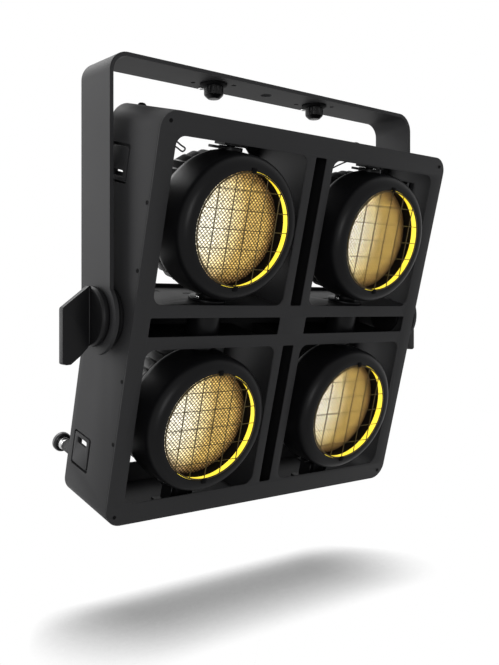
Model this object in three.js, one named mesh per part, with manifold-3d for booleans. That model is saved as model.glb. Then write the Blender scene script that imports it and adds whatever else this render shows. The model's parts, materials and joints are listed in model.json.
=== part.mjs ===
// Audience blinder light: four panning lamp pods in a square open housing, hung in a flat strap yoke.
// Millimetres, +Z up, the light shines towards -Y. The origin is the middle of the yoke's top face.
import * as THREE from 'three';
import { mergeVertices } from 'three/addons/utils/BufferGeometryUtils.js';
import Module from 'manifold-3d';

const wasm = await Module();
wasm.setup();

// Fits that every piece shares
const seat = 0.3; // gap between pieces that touch
const overrun = 1; // how far a cut or a buried end runs past the face it meets

// Housing: a square tube of sheet with round corners, open at the back, as wide as its pods and pivots need
const housingDepth = 86;
const housingTilt = THREE.MathUtils.degToRad(14.6); // top forward, as it hangs
const cornerRadius = 18;
const sheet = 2;
const rearLip = 14;
const cornerFacets = 4;

// Front frame: one plate with four windows and four slots, and a folded rim inside the shell
const faceSheet = 1.5;
const sideBorder = 19;
const endBorder = 21.5;
const barHalfWidth = 18.5; // half of the upright bar between two windows
const barHalfHeight = 22; // half of the level bar
const slotHalfWidth = 7.7;
const slotHalfHeight = 9.3;
const windowRadius = 10;
const slotRadius = 1.5;
const rimDepth = 12;

// Cross beam: two channels behind the bars, open to the slots and closed at the rear
const beamHalfHeight = 21;

// Yoke
const strapWidth = 53;
const strapThickness = 4;
const strapGap = 10.4; // housing side to strap
const yokeHeadroom = 47; // housing's top to the yoke's top face, with the housing level
const bendRadius = 20;
const endRadius = 36.5;
const hangHoleRadius = 6.5;
const studRadius = 6;
const sidePilotRadius = 2.6;
const sidePilotReach = 20;
const sidePilotSkew = 9;

// Clamp sockets under the yoke's top bar
const socketSpacing = 147;
const socketSides = 14;
const socketRadius = 9.5;
const socketDrop = 16;
const socketNeckRadius = 7;
const socketBoreRadius = 4.5;
const socketBoreDepth = 15;
const socketFlangeRadius = 14.5;
const socketFlange = 2.5;
const socketDome = 3;

// Tilt bushes and the two tilt knobs
const bushRadius = 30;
const bushNeckRadius = 9;
const bushFlangeRadius = 22;
const bushFlange = 3;
const studEnd = 5; // stud past the strap's outer face
const knobRadius = 28.5;
const knobBase = 7.6; // strap face to the knob's face
const knobBevel = 1.5;
const paddleReach = 28;
const paddleTop = 29;
const paddleShoulder = 8;
const paddleTail = 44.5;
const paddleRoot = 26.7;
const paddleTipWidth = 8;
const paddleHeel = 9;
const paddleThickness = 7;
const paddleBevel = 1.2;
const paddleSeat = 4; // how far the paddle runs into its base

// Pods, each turning about an upright pan axis
const panSetback = 25; // housing front face to the pan axis
const podFront = 41.2; // pan axis to the pod's lip
const podBack = 14; // pan axis to the bezel's rear edge
const bodyRadius = 72.5;
const bodyWall = 4.5;
const bodyDraft = 1; // how much narrower the drum is at its shoulder
const lipInset = 12.5; // drum's widest to the lip
const lipWidth = 3.5;
const lipDepth = 1.6;
const shoulderDepth = 13.5;
const podSides = 20;

const ringDepth = 10;
const ringWall = 1.8;
const lensSetback = 22.7; // lip to the lens's edge
const lensEdge = 3.2;
const lensCrown = 2.2;
const ledRadius = 20;
const ledPlate = 4;
const reflectorWall = 1.8;
const mountPlate = 2;
const mountPlateGap = 2; // inside the drum's wall
const reflectorSides = 12;

const guardWire = 0.9;
const wireGap = 0.1; // between crossing wires
const guardGap = 0.4; // between the guard and the mouth
const guardCount = 5;
const guardRing = 2.4;
const guardDepth = 3.8;
const guardTabWidth = 6;
const guardTab = 1.2;
const wireSides = 4;

const finCount = 28;
const finInset = 3.5; // drum's widest to the fins' tips
const finTaper = 9; // how much lower the fins are at the rear
const finLength = 38;
const finRoot = 2.6;
const finTip = 1.7;
const finCore = 40;

const trunnionRadius = 12;
const trunnionStand = 3; // trunnion's face past the drum
const panPinRadius = 4;
const panPinLength = 5;
const hubRadius = 17;
const hubRise = 3.2; // hub's face past the beam
const hubFlangeRadius = 19;
const postRadius = 12;
const postHeight = 21.9; // trunnion to the wall
const postFootWidth = 46;
const postFoot = 3;

// Link arms in the side walls, which join one housing to the next, and their thumb screws
const armWidth = 30;
const armCentre = 18; // behind the housing's middle
const armEdge = 69; // hinge's axis to the housing's end
const armTail = 3; // past the hinge, towards the middle
const armLength = 30;
const armThickness = 3;
const armGroove = 1.8;
const armCorner = 3;
const armPinRadius = 1.3;
const armPinInset = 4; // side face to the hinge's axis
const armSlotWidth = 18;
const armSlotStart = 1;
const armSlotHeight = 6;
const armLug = 6;
const armLugReach = 8;
const armLugHeight = 8;
const stopLap = 1; // how far the arm's free end lies on its stop
const stopFoot = 3.2; // stop's foot past the opening
const earThickness = 3;
const earReach = 8;
const earHeight = 9;
const screwInset = 8.5; // side face to the screw's axis
const screwRise = 25.5; // hinge to the screw's axis
const screwRadius = 2.2;
const screwGripRadius = 10.4;
const screwNeckRadius = 5;
const screwGripLength = 13;
const screwNeckLength = 4;
const collarRadius = 6;
const collarLength = 20;

// Driver box on the back of the cross beam, with its controls and connectors
const boxWidth = 72;
const boxHeight = 240;
const boxDepth = 35;
const boxRadius = 8;
const supplyInset = 5;
const supplyDepth = 21;
const displayWidth = 44;
const displayHeight = 24;
const displayDrop = 48; // box's top to the display's middle
const displayProud = 0.4;
const buttonRadius = 4;
const buttonCount = 4;
const buttonPitch = 14;
const buttonDrop = 28; // display's middle to the buttons
const buttonProud = 2.4;
const buttonFlange = 1.6;
const buttonFlangeRadius = 5.4;
const powerPitch = 34;
const powerLift = 42; // box's bottom to the power connectors
const powerRadius = 12;
const powerFlangeRadius = 15;
const dataPitch = 30;
const dataLift = 54; // power connectors to the data connectors
const dataRadius = 10;
const dataPlateWidth = 62;
const dataPlateHeight = 30;
const socketPlate = 2;
const connectorDepth = 9; // body behind the panel's outer face
const connectorProud = 4;
const connectorWall = 2;
const connectorRecess = 9;
const powerSides = 12;
const dataSides = 8;

// Leads of the upper pods, from the pivot post to the heat sink's back
const leadRadius = 0.9;
const leadSides = 8;
const leadStepDiameters = 3;

// Sizes and places that follow from the sizes above
const shoulderRadius = bodyRadius - bodyDraft;
const lipRadius = bodyRadius - lipInset;
const mouthRadius = lipRadius - lipWidth;
const barrelRadius = mouthRadius + ringWall + seat;
const mountPlateRadius = bodyRadius - bodyWall - mountPlateGap;
const finRadius = bodyRadius - finInset;
const finRearRadius = finRadius - finTaper;
const guardPitch = (2 * mouthRadius) / (guardCount + 1);
const trunnionReach = bodyRadius + trunnionStand; // pod axis to the trunnion's face
const hubFace = beamHalfHeight + hubRise;
const podOffset = hubFace + seat + trunnionReach; // pod axis to the housing's middle, both ways
const pivotFace = podOffset + trunnionReach + seat;
const half = pivotFace + postHeight + seat + sheet;
const housingSide = 2 * half;
const yokeRise = half + yokeHeadroom; // tilt axis to the top face
const frontFace = -housingDepth / 2;
const rearFace = housingDepth / 2;
const wallInside = half - sheet;
const shellFront = frontFace + faceSheet + seat;
const beamRear = rearFace - sheet - seat;
const strapInside = half + strapGap;
const strapOutside = strapInside + strapThickness;
const barUnderside = yokeRise - strapThickness;
const panAxis = frontFace + panSetback;
const rimEnd = frontFace + faceSheet + rimDepth;
const sinkFront = podBack + seat;
const sinkRear = sinkFront + finLength;
const boxFront = beamRear + seat;
const boxRear = boxFront + boxDepth;
const boxInside = boxRear - sheet;
const displayRise = boxHeight / 2 - displayDrop;
const buttonRise = displayRise - buttonDrop;
const powerRise = powerLift - boxHeight / 2;
const dataRise = powerRise + dataLift;
const armHinge = half - armEdge; // above and below the housing's middle
const armHingeX = half - armPinInset;
const armTip = armHinge + armLength;
const armMiddle = armTip - (armLength + armTail) / 2;
const armRear = armCentre + armWidth / 2;

// Turns a closed geometry into a solid, with its faces pointing out
function solid(geometry) {
  const bare = geometry.index ? geometry.toNonIndexed() : geometry.clone();
  bare.deleteAttribute('normal');
  bare.deleteAttribute('uv');
  const merged = mergeVertices(bare);
  const kept = [];
  const index = merged.index.array;
  for (let i = 0; i < index.length; i += 3) {
    const [a, b, c] = [index[i], index[i + 1], index[i + 2]];
    if (a !== b && b !== c && c !== a) kept.push(a, b, c);
  }
  const mesh = (corners) => new wasm.Manifold(new wasm.Mesh({
    numProp: 3,
    vertProperties: new Float32Array(merged.attributes.position.array),
    triVerts: new Uint32Array(corners),
  }));
  const made = mesh(kept);
  return made.volume() > 0 ? made : mesh(kept.reverse());
}

function join(...parts) {
  return parts.reduce((sum, part) => sum.add(part));
}

function cut(body, ...tools) {
  return tools.reduce((left, tool) => left.subtract(tool), body);
}

function geometryOf(body) {
  const mesh = body.getMesh();
  const geometry = new THREE.BufferGeometry();
  const positions = new Float32Array(mesh.vertProperties);
  geometry.setAttribute('position', new THREE.BufferAttribute(positions, mesh.numProp));
  geometry.setIndex(new THREE.BufferAttribute(new Uint32Array(mesh.triVerts), 1));
  geometry.computeVertexNormals();
  return geometry;
}

// A box between two corners
function block([x0, y0, z0], [x1, y1, z1]) {
  const geometry = new THREE.BoxGeometry(x1 - x0, y1 - y0, z1 - z0);
  return solid(geometry.translate((x0 + x1) / 2, (y0 + y1) / 2, (z0 + z1) / 2));
}

// Extrudes an outline drawn in X and Z from one Y to another
function slabY(shape, from, to, curveSegments = 2) {
  const geometry = new THREE.ExtrudeGeometry(shape, { depth: to - from, bevelEnabled: false, curveSegments });
  return solid(geometry.rotateX(Math.PI / 2).translate(0, to, 0));
}

// Extrudes an outline drawn in Y and Z from one X to another
function slabX(shape, from, to) {
  const geometry = new THREE.ExtrudeGeometry(shape, { depth: to - from, bevelEnabled: false });
  return solid(geometry.rotateX(Math.PI / 2).rotateZ(Math.PI / 2).translate(from, 0, 0));
}

// Revolves a profile of [radius, along] points about the X, Y or Z axis
function turned(profile, axis, sides) {
  const geometry = new THREE.LatheGeometry(profile.map(([r, a]) => new THREE.Vector2(r, a)), sides);
  if (axis === 'x') geometry.rotateZ(-Math.PI / 2);
  if (axis === 'z') geometry.rotateX(Math.PI / 2);
  return solid(geometry);
}

function rod(axis, radius, from, to, sides = 16) {
  return turned([[0, from], [radius, from], [radius, to], [0, to]], axis, sides);
}

// A span on the positive side, or its mirror image on the negative one
function span(sign, from, to) {
  return sign < 0 ? [-to, -from] : [from, to];
}

// A rectangle with round corners, centred on (u, v), with so many facets to a corner
function roundedRect(width, height, radius, u = 0, v = 0, facets = 2) {
  const points = [];
  for (let corner = 0; corner < 4; corner += 1) {
    const across = corner === 0 || corner === 3 ? 1 : -1;
    const up = corner < 2 ? 1 : -1;
    const centre = new THREE.Vector2(u + across * (width / 2 - radius), v + up * (height / 2 - radius));
    for (let step = 0; step <= facets; step += 1) {
      const angle = (corner + step / facets) * (Math.PI / 2);
      points.push(new THREE.Vector2(radius * Math.cos(angle), radius * Math.sin(angle)).add(centre));
    }
  }
  return new THREE.Shape(points);
}

// A flat band that keeps the same width round a rounded square
function squareBand(outerSide, outerRadius, width) {
  const band = roundedRect(outerSide, outerSide, outerRadius, 0, 0, cornerFacets);
  const innerSide = outerSide - 2 * width;
  const innerRadius = Math.max(outerRadius - width, slotRadius);
  band.holes.push(roundedRect(innerSide, innerSide, innerRadius, 0, 0, cornerFacets));
  return band;
}

// The strap bent into a U, with round ends and its holes
function yoke() {
  const outline = new THREE.Shape();
  const inner = bendRadius - strapThickness;
  outline.moveTo(-strapOutside, 0);
  outline.lineTo(-strapOutside, yokeRise - bendRadius);
  outline.absarc(-strapOutside + bendRadius, yokeRise - bendRadius, bendRadius, Math.PI, Math.PI / 2, true);
  outline.lineTo(strapOutside - bendRadius, yokeRise);
  outline.absarc(strapOutside - bendRadius, yokeRise - bendRadius, bendRadius, Math.PI / 2, 0, true);
  outline.lineTo(strapOutside, 0);
  outline.lineTo(strapInside, 0);
  outline.lineTo(strapInside, yokeRise - bendRadius);
  outline.absarc(strapInside - inner, yokeRise - bendRadius, inner, 0, Math.PI / 2, false);
  outline.lineTo(-strapInside + inner, barUnderside);
  outline.absarc(-strapInside + inner, yokeRise - bendRadius, inner, Math.PI / 2, Math.PI, false);
  outline.lineTo(-strapInside, 0);
  outline.closePath();
  let strap = slabY(outline, -strapWidth / 2, strapWidth / 2);
  const bore = [barUnderside - overrun, yokeRise + overrun];
  const hole = (x, y, radius, sides = 10) => rod('z', radius, ...bore, sides).translate([x, y, 0]);
  for (const side of [-1, 1]) {
    strap = join(strap, rod('x', endRadius, ...span(side, strapInside, strapOutside), 24));
    const studBore = span(side, strapInside - overrun, strapOutside + overrun);
    strap = cut(strap, rod('x', studRadius + seat, ...studBore, 12));
    const x = (side * socketSpacing) / 2;
    strap = cut(strap, hole(x, 0, socketNeckRadius + seat, socketSides));
    strap = cut(strap, hole(x - sidePilotReach, sidePilotSkew, sidePilotRadius, 6));
    strap = cut(strap, hole(x + sidePilotReach, -sidePilotSkew, sidePilotRadius, 6));
  }
  return cut(strap, hole(0, 0, hangHoleRadius));
}

// A blind socket whose neck fills the bar's hole and whose flange bears on its underside
function clampSocket() {
  const flangeTop = barUnderside - seat;
  const bottom = barUnderside - socketDrop;
  return turned([
    [0, yokeRise - socketBoreDepth],
    [socketBoreRadius, yokeRise - socketBoreDepth],
    [socketBoreRadius, yokeRise - seat],
    [socketNeckRadius, yokeRise - seat],
    [socketNeckRadius, flangeTop],
    [socketFlangeRadius, flangeTop],
    [socketFlangeRadius, flangeTop - socketFlange],
    [socketRadius, flangeTop - socketFlange],
    [socketRadius, bottom + socketDome],
    [socketRadius - socketDome, bottom],
    [0, bottom],
  ], 'z', socketSides);
}

// The rounded square tube, with link arm openings, hinge brackets, arm stops, screw collars and bush holes
function housingShell() {
  let shell = slabY(squareBand(housingSide, cornerRadius, sheet), shellFront, rearFace);
  shell = join(shell, slabY(squareBand(housingSide, cornerRadius, rearLip), rearFace - sheet, rearFace));
  const [openingWidth, openingHeight] = [armWidth + 2 * armGroove, armLength + armTail + 2 * armGroove];
  const collarEnd = rearFace + collarLength;
  for (const side of [-1, 1]) {
    const wall = span(side, wallInside - overrun, half + overrun);
    shell = cut(shell, rod('x', bushNeckRadius + seat, ...wall, 12));
    for (const end of [-1, 1]) {
      const opening = roundedRect(openingWidth, openingHeight, armCorner, armCentre, end * armMiddle);
      shell = cut(shell, slabX(opening, ...wall));
      shell = join(shell, hingeBracket(side, end), armStop(side, end));
      const at = [side * (half - screwInset), 0, end * (armHinge + screwRise)];
      shell = join(shell, rod('y', collarRadius, rearFace - sheet, collarEnd, 8).translate(at));
      const bore = rod('y', screwRadius + seat, rearFace - sheet - overrun, collarEnd + overrun, 8);
      shell = cut(shell, bore.translate(at));
    }
  }
  return shell;
}

// A U-shaped bracket inside the wall that holds the ends of a link arm's hinge pin
function hingeBracket(side, end) {
  const inner = armWidth / 2 + armGroove;
  const outer = inner + earThickness;
  const web = wallInside - earReach;
  const low = end * armHinge - earHeight / 2;
  const high = end * armHinge + earHeight / 2;
  const [x0, x1] = span(side, web, wallInside + overrun);
  const [gap0, gap1] = span(side, web + sheet, wallInside + 2 * overrun);
  const body = block([x0, armCentre - outer, low], [x1, armCentre + outer, high]);
  const gap = block([gap0, armCentre - inner, low - overrun], [gap1, armCentre + inner, high + overrun]);
  const bore = rod('y', armPinRadius + seat, armCentre - outer - overrun, armCentre + outer + overrun, 6);
  return cut(body, gap, bore.translate([side * armHingeX, 0, end * armHinge]));
}

// A ledge inside the wall that the arm's free end closes against
function armStop(side, end) {
  const face = half - armThickness - seat;
  const footStart = armTip + armGroove + seat;
  const [x0, x1] = span(side, face - sheet, face);
  const [foot0, foot1] = span(side, face - sheet, wallInside + overrun);
  const [z0, z1] = span(end, armTip - stopLap, armTip + armGroove + stopFoot);
  const [footZ0, footZ1] = span(end, footStart, armTip + armGroove + stopFoot);
  const [y0, y1] = [armCentre - armWidth / 2, armRear];
  return join(block([x0, y0, z0], [x1, y1, z1]), block([foot0, y0, footZ0], [foot1, y1, footZ1]));
}

// The front plate, pierced by the windows and slots, with its folded rim
function frontFrame() {
  const plate = roundedRect(housingSide, housingSide, cornerRadius, 0, 0, cornerFacets);
  const windowWidth = half - sideBorder - barHalfWidth;
  const windowHeight = half - endBorder - barHalfHeight;
  const windowX = barHalfWidth + windowWidth / 2;
  const windowZ = barHalfHeight + windowHeight / 2;
  for (const side of [-1, 1]) {
    for (const end of [-1, 1]) {
      const [x, z] = [side * windowX, end * windowZ];
      plate.holes.push(roundedRect(windowWidth, windowHeight, windowRadius, x, z, 3));
    }
    plate.holes.push(roundedRect(windowWidth, 2 * slotHalfHeight, slotRadius, side * windowX, 0, 1));
    plate.holes.push(roundedRect(2 * slotHalfWidth, windowHeight, slotRadius, 0, side * windowZ, 1));
  }
  const rimSide = 2 * (wallInside - seat);
  const rim = squareBand(rimSide, cornerRadius - sheet - seat, faceSheet);
  return join(
    slabY(plate, frontFace, frontFace + faceSheet),
    slabY(rim, frontFace + faceSheet / 2, frontFace + faceSheet + rimDepth));
}

// An upright and a level channel welded into a cross, closed at the rear
function crossBeam() {
  const rise = wallInside - faceSheet - 2 * seat;
  const reach = wallInside - bushFlange - 2 * seat;
  const body = join(
    block([-barHalfWidth, shellFront, -rise], [barHalfWidth, beamRear, rise]),
    block([-reach, shellFront, -beamHalfHeight], [reach, beamRear, beamHalfHeight]));
  const inX = barHalfWidth - sheet;
  const inZ = beamHalfHeight - sheet;
  const front = shellFront - overrun;
  const back = beamRear - sheet;
  let channel = cut(body, block([-inX, front, -rise - overrun], [inX, back, rise + overrun]));
  for (const side of [-1, 1]) {
    const [x0, x1] = span(side, barHalfWidth, reach + overrun);
    channel = cut(channel, block([x0, front, -inZ], [x1, back, inZ]));
    const bore = rod('z', hubRadius + seat, -beamHalfHeight - overrun, beamHalfHeight + overrun, 12);
    channel = cut(channel, bore.translate([side * podOffset, panAxis, 0]));
  }
  return channel;
}

// A flanged drum through the level beam, with the upper pod's lower pin and the lower pod's upper pin
function pivotHub() {
  const flange = beamHalfHeight + seat;
  const pinEnd = hubFace + panPinLength;
  return turned([
    [0, -pinEnd],
    [panPinRadius, -pinEnd],
    [panPinRadius, -hubFace],
    [hubRadius, -hubFace],
    [hubRadius, flange],
    [hubFlangeRadius, flange],
    [hubFlangeRadius, hubFace],
    [panPinRadius, hubFace],
    [panPinRadius, pinEnd],
    [0, pinEnd],
  ], 'z', 12);
}

// A post from the top or bottom wall to a pod's outer trunnion
function pivotPost() {
  const footTop = wallInside - seat;
  const footReach = panAxis - rimEnd - seat;
  const foot = block(
    [-postFootWidth / 2, -footReach, footTop - postFoot],
    [postFootWidth / 2, footReach, footTop]);
  const post = rod('z', postRadius, pivotFace, footTop - postFoot / 2, 12);
  const pin = rod('z', panPinRadius, pivotFace - panPinLength, pivotFace + overrun, 8);
  return join(foot, post, pin);
}

// A bush that grips the side wall, spaces the strap and carries the knob's stud
function tiltBush() {
  const innerFace = wallInside - seat;
  const outerFace = half + seat;
  const strapSeat = strapInside - seat;
  return turned([
    [0, innerFace - bushFlange],
    [bushFlangeRadius, innerFace - bushFlange],
    [bushFlangeRadius, innerFace],
    [bushNeckRadius, innerFace],
    [bushNeckRadius, outerFace],
    [bushRadius, outerFace],
    [bushRadius, strapSeat],
    [studRadius, strapSeat],
    [studRadius, strapOutside + studEnd],
    [0, strapOutside + studEnd],
  ], 'x', 12);
}

// A clamp knob: a round base and a swept paddle whose tail hangs below it
function tiltKnob() {
  const back = strapOutside + seat;
  const face = strapOutside + knobBase;
  const tip = face + paddleReach;
  const boreEnd = strapOutside + studEnd + seat;
  const base = turned([
    [0, back],
    [knobRadius, back],
    [knobRadius, face - knobBevel],
    [knobRadius - knobBevel, face],
    [0, face],
  ], 'x', 20);
  const outline = new THREE.Shape();
  outline.moveTo(face - paddleSeat, paddleTop - paddleSeat);
  outline.lineTo(face, paddleTop);
  outline.lineTo(tip, paddleShoulder);
  outline.lineTo(tip, -paddleTail + paddleBevel);
  const tipInside = tip - paddleTipWidth;
  outline.quadraticCurveTo((tip + tipInside) / 2, -paddleTail - paddleBevel, tipInside, -paddleTail);
  outline.quadraticCurveTo(face + paddleHeel, -paddleTail + paddleTipWidth, face, -paddleRoot);
  outline.lineTo(face - paddleSeat, -paddleRoot + paddleSeat);
  outline.closePath();
  const options = {
    depth: paddleThickness - 2 * paddleBevel,
    bevelEnabled: true,
    bevelThickness: paddleBevel,
    bevelSize: paddleBevel,
    bevelOffset: -paddleBevel,
    bevelSegments: 1,
    curveSegments: 3,
  };
  const paddle = new THREE.ExtrudeGeometry(outline, options).rotateX(Math.PI / 2);
  const bore = rod('x', studRadius + seat, back - overrun, boreEnd, 12);
  return cut(join(base, solid(paddle.translate(0, paddleThickness / 2 - paddleBevel, 0))), bore);
}

// A link arm in its closed place: plate, finger slot, hinge pin and the lug that its thumb screw meets
function linkArm(side, end) {
  const outline = roundedRect(armWidth, armLength + armTail, armCorner, armCentre, end * armMiddle);
  const slotMiddle = end * (armHinge + armSlotStart + armSlotHeight / 2);
  outline.holes.push(roundedRect(armSlotWidth, armSlotHeight, armSlotHeight / 3, armCentre, slotMiddle));
  const inside = half - armThickness;
  const plate = slabX(outline, ...span(side, inside, half));
  const pinEnd = armWidth / 2 + armGroove + earThickness;
  const pin = rod('y', armPinRadius, armCentre - pinEnd, armCentre + pinEnd, 6);
  const lugEnd = armHinge + screwRise + screwRadius;
  const [x0, x1] = span(side, inside - armLugReach, inside + overrun);
  const [z0, z1] = span(end, lugEnd - armLugHeight, lugEnd);
  const lug = block([x0, armRear - armLug - armGroove, z0], [x1, armRear - armGroove, z1]);
  return join(plate, pin.translate([side * armHingeX, 0, end * armHinge]), lug);
}

// A thumb screw: a round grip behind the housing and a shank that reaches the arm's lug
function thumbScrew() {
  const tip = armRear - armGroove + seat;
  const grip = rearFace + collarLength + seat;
  const widest = grip + screwNeckLength;
  const end = grip + screwGripLength;
  return turned([
    [0, tip],
    [screwRadius, tip],
    [screwRadius, grip],
    [screwNeckRadius, grip],
    [screwGripRadius, widest],
    [screwGripRadius, end - 2 * overrun],
    [screwGripRadius - 2 * overrun, end],
    [0, end],
  ], 'y', 10);
}

// The pod's bezel: a round-shouldered drum with a narrower mouth, a lens barrel and two bored trunnions
function bezel() {
  const lip = -podFront;
  const shoulder = lip + shoulderDepth;
  const arc = [0, 1, 2, 3].map((step) => {
    const angle = (step / 3) * (Math.PI / 2);
    const outward = (shoulderRadius - lipRadius) * Math.sin(angle);
    return [lipRadius + outward, shoulder - shoulderDepth * Math.cos(angle)];
  });
  const barrelEnd = lip + lensSetback + lensEdge + seat;
  const profile = [
    [mouthRadius, lip],
    ...arc,
    [bodyRadius, podBack],
    [bodyRadius - bodyWall, podBack],
    [bodyRadius - bodyWall, barrelEnd + bodyWall],
    [barrelRadius, barrelEnd],
    [barrelRadius, lip + lipDepth],
    [mouthRadius, lip + lipDepth],
    [mouthRadius, lip],
  ];
  let body = turned(profile, 'y', podSides);
  for (const end of [-1, 1]) {
    const boreEnd = trunnionReach - panPinLength - seat;
    const boss = span(end, bodyRadius - bodyWall / 2, trunnionReach);
    body = join(body, rod('z', trunnionRadius, ...boss, 12));
    body = cut(body, rod('z', panPinRadius + seat, ...span(end, boreEnd, trunnionReach + overrun), 12));
  }
  return body;
}

// The lit ring just behind the mouth
function glowRing() {
  const from = -podFront + lipDepth + seat;
  const outer = barrelRadius - seat;
  const to = from + ringDepth;
  const inner = outer - ringWall;
  return turned([[inner, from], [outer, from], [outer, to], [inner, to], [inner, from]], 'y', podSides);
}

// A flat-backed lens with a low crown
function lens() {
  const edge = -podFront + lensSetback;
  const radius = barrelRadius - seat;
  return turned([
    [0, edge - lensCrown],
    [radius / 2, edge - (lensCrown * 3) / 4],
    [radius, edge],
    [radius, edge + lensEdge],
    [0, edge + lensEdge],
  ], 'y', podSides);
}

// The light source: a mounting plate on the heat sink, the lamp on it and the reflector cup in front
function ledModule() {
  const mouth = -podFront + lensSetback + lensEdge + seat;
  const rim = barrelRadius - 2 * seat;
  return turned([
    [0, podBack],
    [mountPlateRadius, podBack],
    [mountPlateRadius, podBack - mountPlate],
    [ledRadius + ledPlate, podBack - mountPlate],
    [rim, mouth],
    [rim - reflectorWall, mouth],
    [ledRadius, podBack - ledPlate],
    [0, podBack - ledPlate],
  ], 'y', reflectorSides);
}

// A ring and a square grid of wires in the pod's mouth, with a fixing tab at top and bottom
function wireGuard() {
  const outer = mouthRadius - guardGap;
  const inner = outer - guardRing;
  const wireEnd = outer - guardRing / 2;
  const front = -podFront - seat - guardTab;
  const back = front + guardDepth;
  const step = guardWire + wireGap / 2;
  const middle = (front + back) / 2;
  const section = [[inner, front], [outer, front], [outer, back], [inner, back], [inner, front]];
  let guard = turned(section, 'y', podSides);
  for (const offset of spread(guardCount, guardPitch)) {
    const reach = Math.sqrt(wireEnd ** 2 - offset ** 2);
    const wire = (axis) => rod(axis, guardWire, -reach, reach, wireSides);
    guard = join(guard, wire('z').translate([offset, middle - step, 0]));
    guard = join(guard, wire('x').translate([0, middle + step, offset]));
  }
  for (const end of [-1, 1]) {
    const [z0, z1] = span(end, wireEnd, lipRadius);
    guard = join(guard, block([-guardTabWidth / 2, front, z0], [guardTabWidth / 2, front + guardTab, z1]));
  }
  return guard;
}

// A finned heat sink: a core with straight fins all round that grow shorter towards the rear
function heatSink() {
  const loop = (tipRadius) => {
    const points = [];
    const corners = [[finCore, -finRoot], [tipRadius, -finTip], [tipRadius, finTip], [finCore, finRoot]];
    for (let i = 0; i < finCount; i += 1) {
      const angle = (i / finCount) * 2 * Math.PI;
      for (const [radius, width] of corners) {
        points.push(new THREE.Vector2(radius, width / 2).rotateAround(new THREE.Vector2(), angle));
      }
    }
    return points;
  };
  return lofted(loop(finRadius), loop(finRearRadius), sinkFront, sinkRear);
}

// Joins two outlines with as many points, drawn in X and Z, at two places along Y
function lofted(front, rear, from, to) {
  const positions = [...front.map((p) => [p.x, from, p.y]), ...rear.map((p) => [p.x, to, p.y])].flat();
  const count = front.length;
  const index = [];
  const cap = (outline) => THREE.ShapeUtils.triangulateShape(outline, []);
  for (const [a, b, c] of cap(front)) index.push(a, b, c);
  for (const [a, b, c] of cap(rear)) index.push(count + a, count + c, count + b);
  for (let i = 0; i < count; i += 1) {
    const next = (i + 1) % count;
    index.push(i, count + i, next, next, count + i, count + next);
  }
  const geometry = new THREE.BufferGeometry();
  geometry.setAttribute('position', new THREE.Float32BufferAttribute(positions, 3));
  geometry.setIndex(index);
  return solid(geometry);
}

// The lead's route beside the pod, from the post to the heat sink's back, in the pod's own frame
const leadRoutes = {
  left: [[-12.6, 0, 88], [-22, 10, 90.5], [-38, 30, 90], [-47, 44, 84], [-38, 49, 76.5], [-25, 50, 69],
    [-18, 50, 65.5], [-20, 50.5, 62.5], [-31, 51, 66.5], [-44, 54, 65], [-51, 58, 55], [-49, 60, 45],
    [-42, 56.5, 38], [-39, 53.5, 36]],
  right: [[12.6, 0, 88], [21, 10, 90.5], [23, 30, 88], [13, 47, 79.5], [1, 51, 72.5], [-9, 52.5, 66.4],
    [-17, 55.5, 58], [-20, 59, 48], [-17, 58.5, 40], [-12, 53.5, 36]],
};

function podLead(route) {
  const curve = new THREE.CatmullRomCurve3(route.map((point) => new THREE.Vector3(...point)));
  const section = new THREE.Shape();
  section.absarc(0, 0, leadRadius, 0, 2 * Math.PI, false);
  const steps = Math.round(curve.getLength() / (2 * leadStepDiameters * leadRadius));
  const options = { steps, extrudePath: curve, bevelEnabled: false, curveSegments: leadSides / 2 };
  return solid(new THREE.ExtrudeGeometry(section, options));
}

// The sheet cover of the driver box, open to the beam and pierced for its controls and connectors
function driverBox() {
  const outline = roundedRect(boxWidth, boxHeight, boxRadius);
  const hollow = roundedRect(boxWidth - 2 * sheet, boxHeight - 2 * sheet, boxRadius - sheet);
  let cover = slabY(outline, boxFront, boxRear);
  cover = cut(cover, slabY(hollow, boxFront - overrun, boxInside));
  const [from, to] = [boxInside - overrun, boxRear + overrun];
  const [windowWidth, windowHeight] = [displayWidth + 2 * seat, displayHeight + 2 * seat];
  cover = cut(cover, slabY(roundedRect(windowWidth, windowHeight, slotRadius, 0, displayRise, 1), from, to));
  for (const x of spread(buttonCount, buttonPitch)) {
    cover = cut(cover, rod('y', buttonRadius + seat, from, to, 8).translate([x, 0, buttonRise]));
  }
  for (const side of [-1, 1]) {
    const power = rod('y', powerRadius + seat, from, to, powerSides);
    const data = rod('y', dataRadius + seat, from, to, dataSides);
    cover = cut(cover, power.translate([(side * powerPitch) / 2, 0, powerRise]));
    cover = cut(cover, data.translate([(side * dataPitch) / 2, 0, dataRise]));
  }
  return cover;
}

// Evenly spaced places about the middle
function spread(count, pitch) {
  return Array.from({ length: count }, (_, i) => (i - (count - 1) / 2) * pitch);
}

function powerSupply() {
  const [w, h] = [boxWidth / 2 - supplyInset, boxHeight / 2 - supplyInset];
  return block([-w, boxFront, -h], [w, boxFront + supplyDepth, h]);
}

function displayWindow() {
  const outline = roundedRect(displayWidth, displayHeight, slotRadius, 0, displayRise, 1);
  return slabY(outline, boxInside, boxRear + displayProud);
}

// A push button held behind the panel by its flange
function menuButton() {
  const flangeBack = boxInside - seat;
  const top = boxRear + buttonProud;
  return turned([
    [0, flangeBack - buttonFlange],
    [buttonFlangeRadius, flangeBack - buttonFlange],
    [buttonFlangeRadius, flangeBack],
    [buttonRadius, flangeBack],
    [buttonRadius, top],
    [0, top],
  ], 'y', 8);
}

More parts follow.
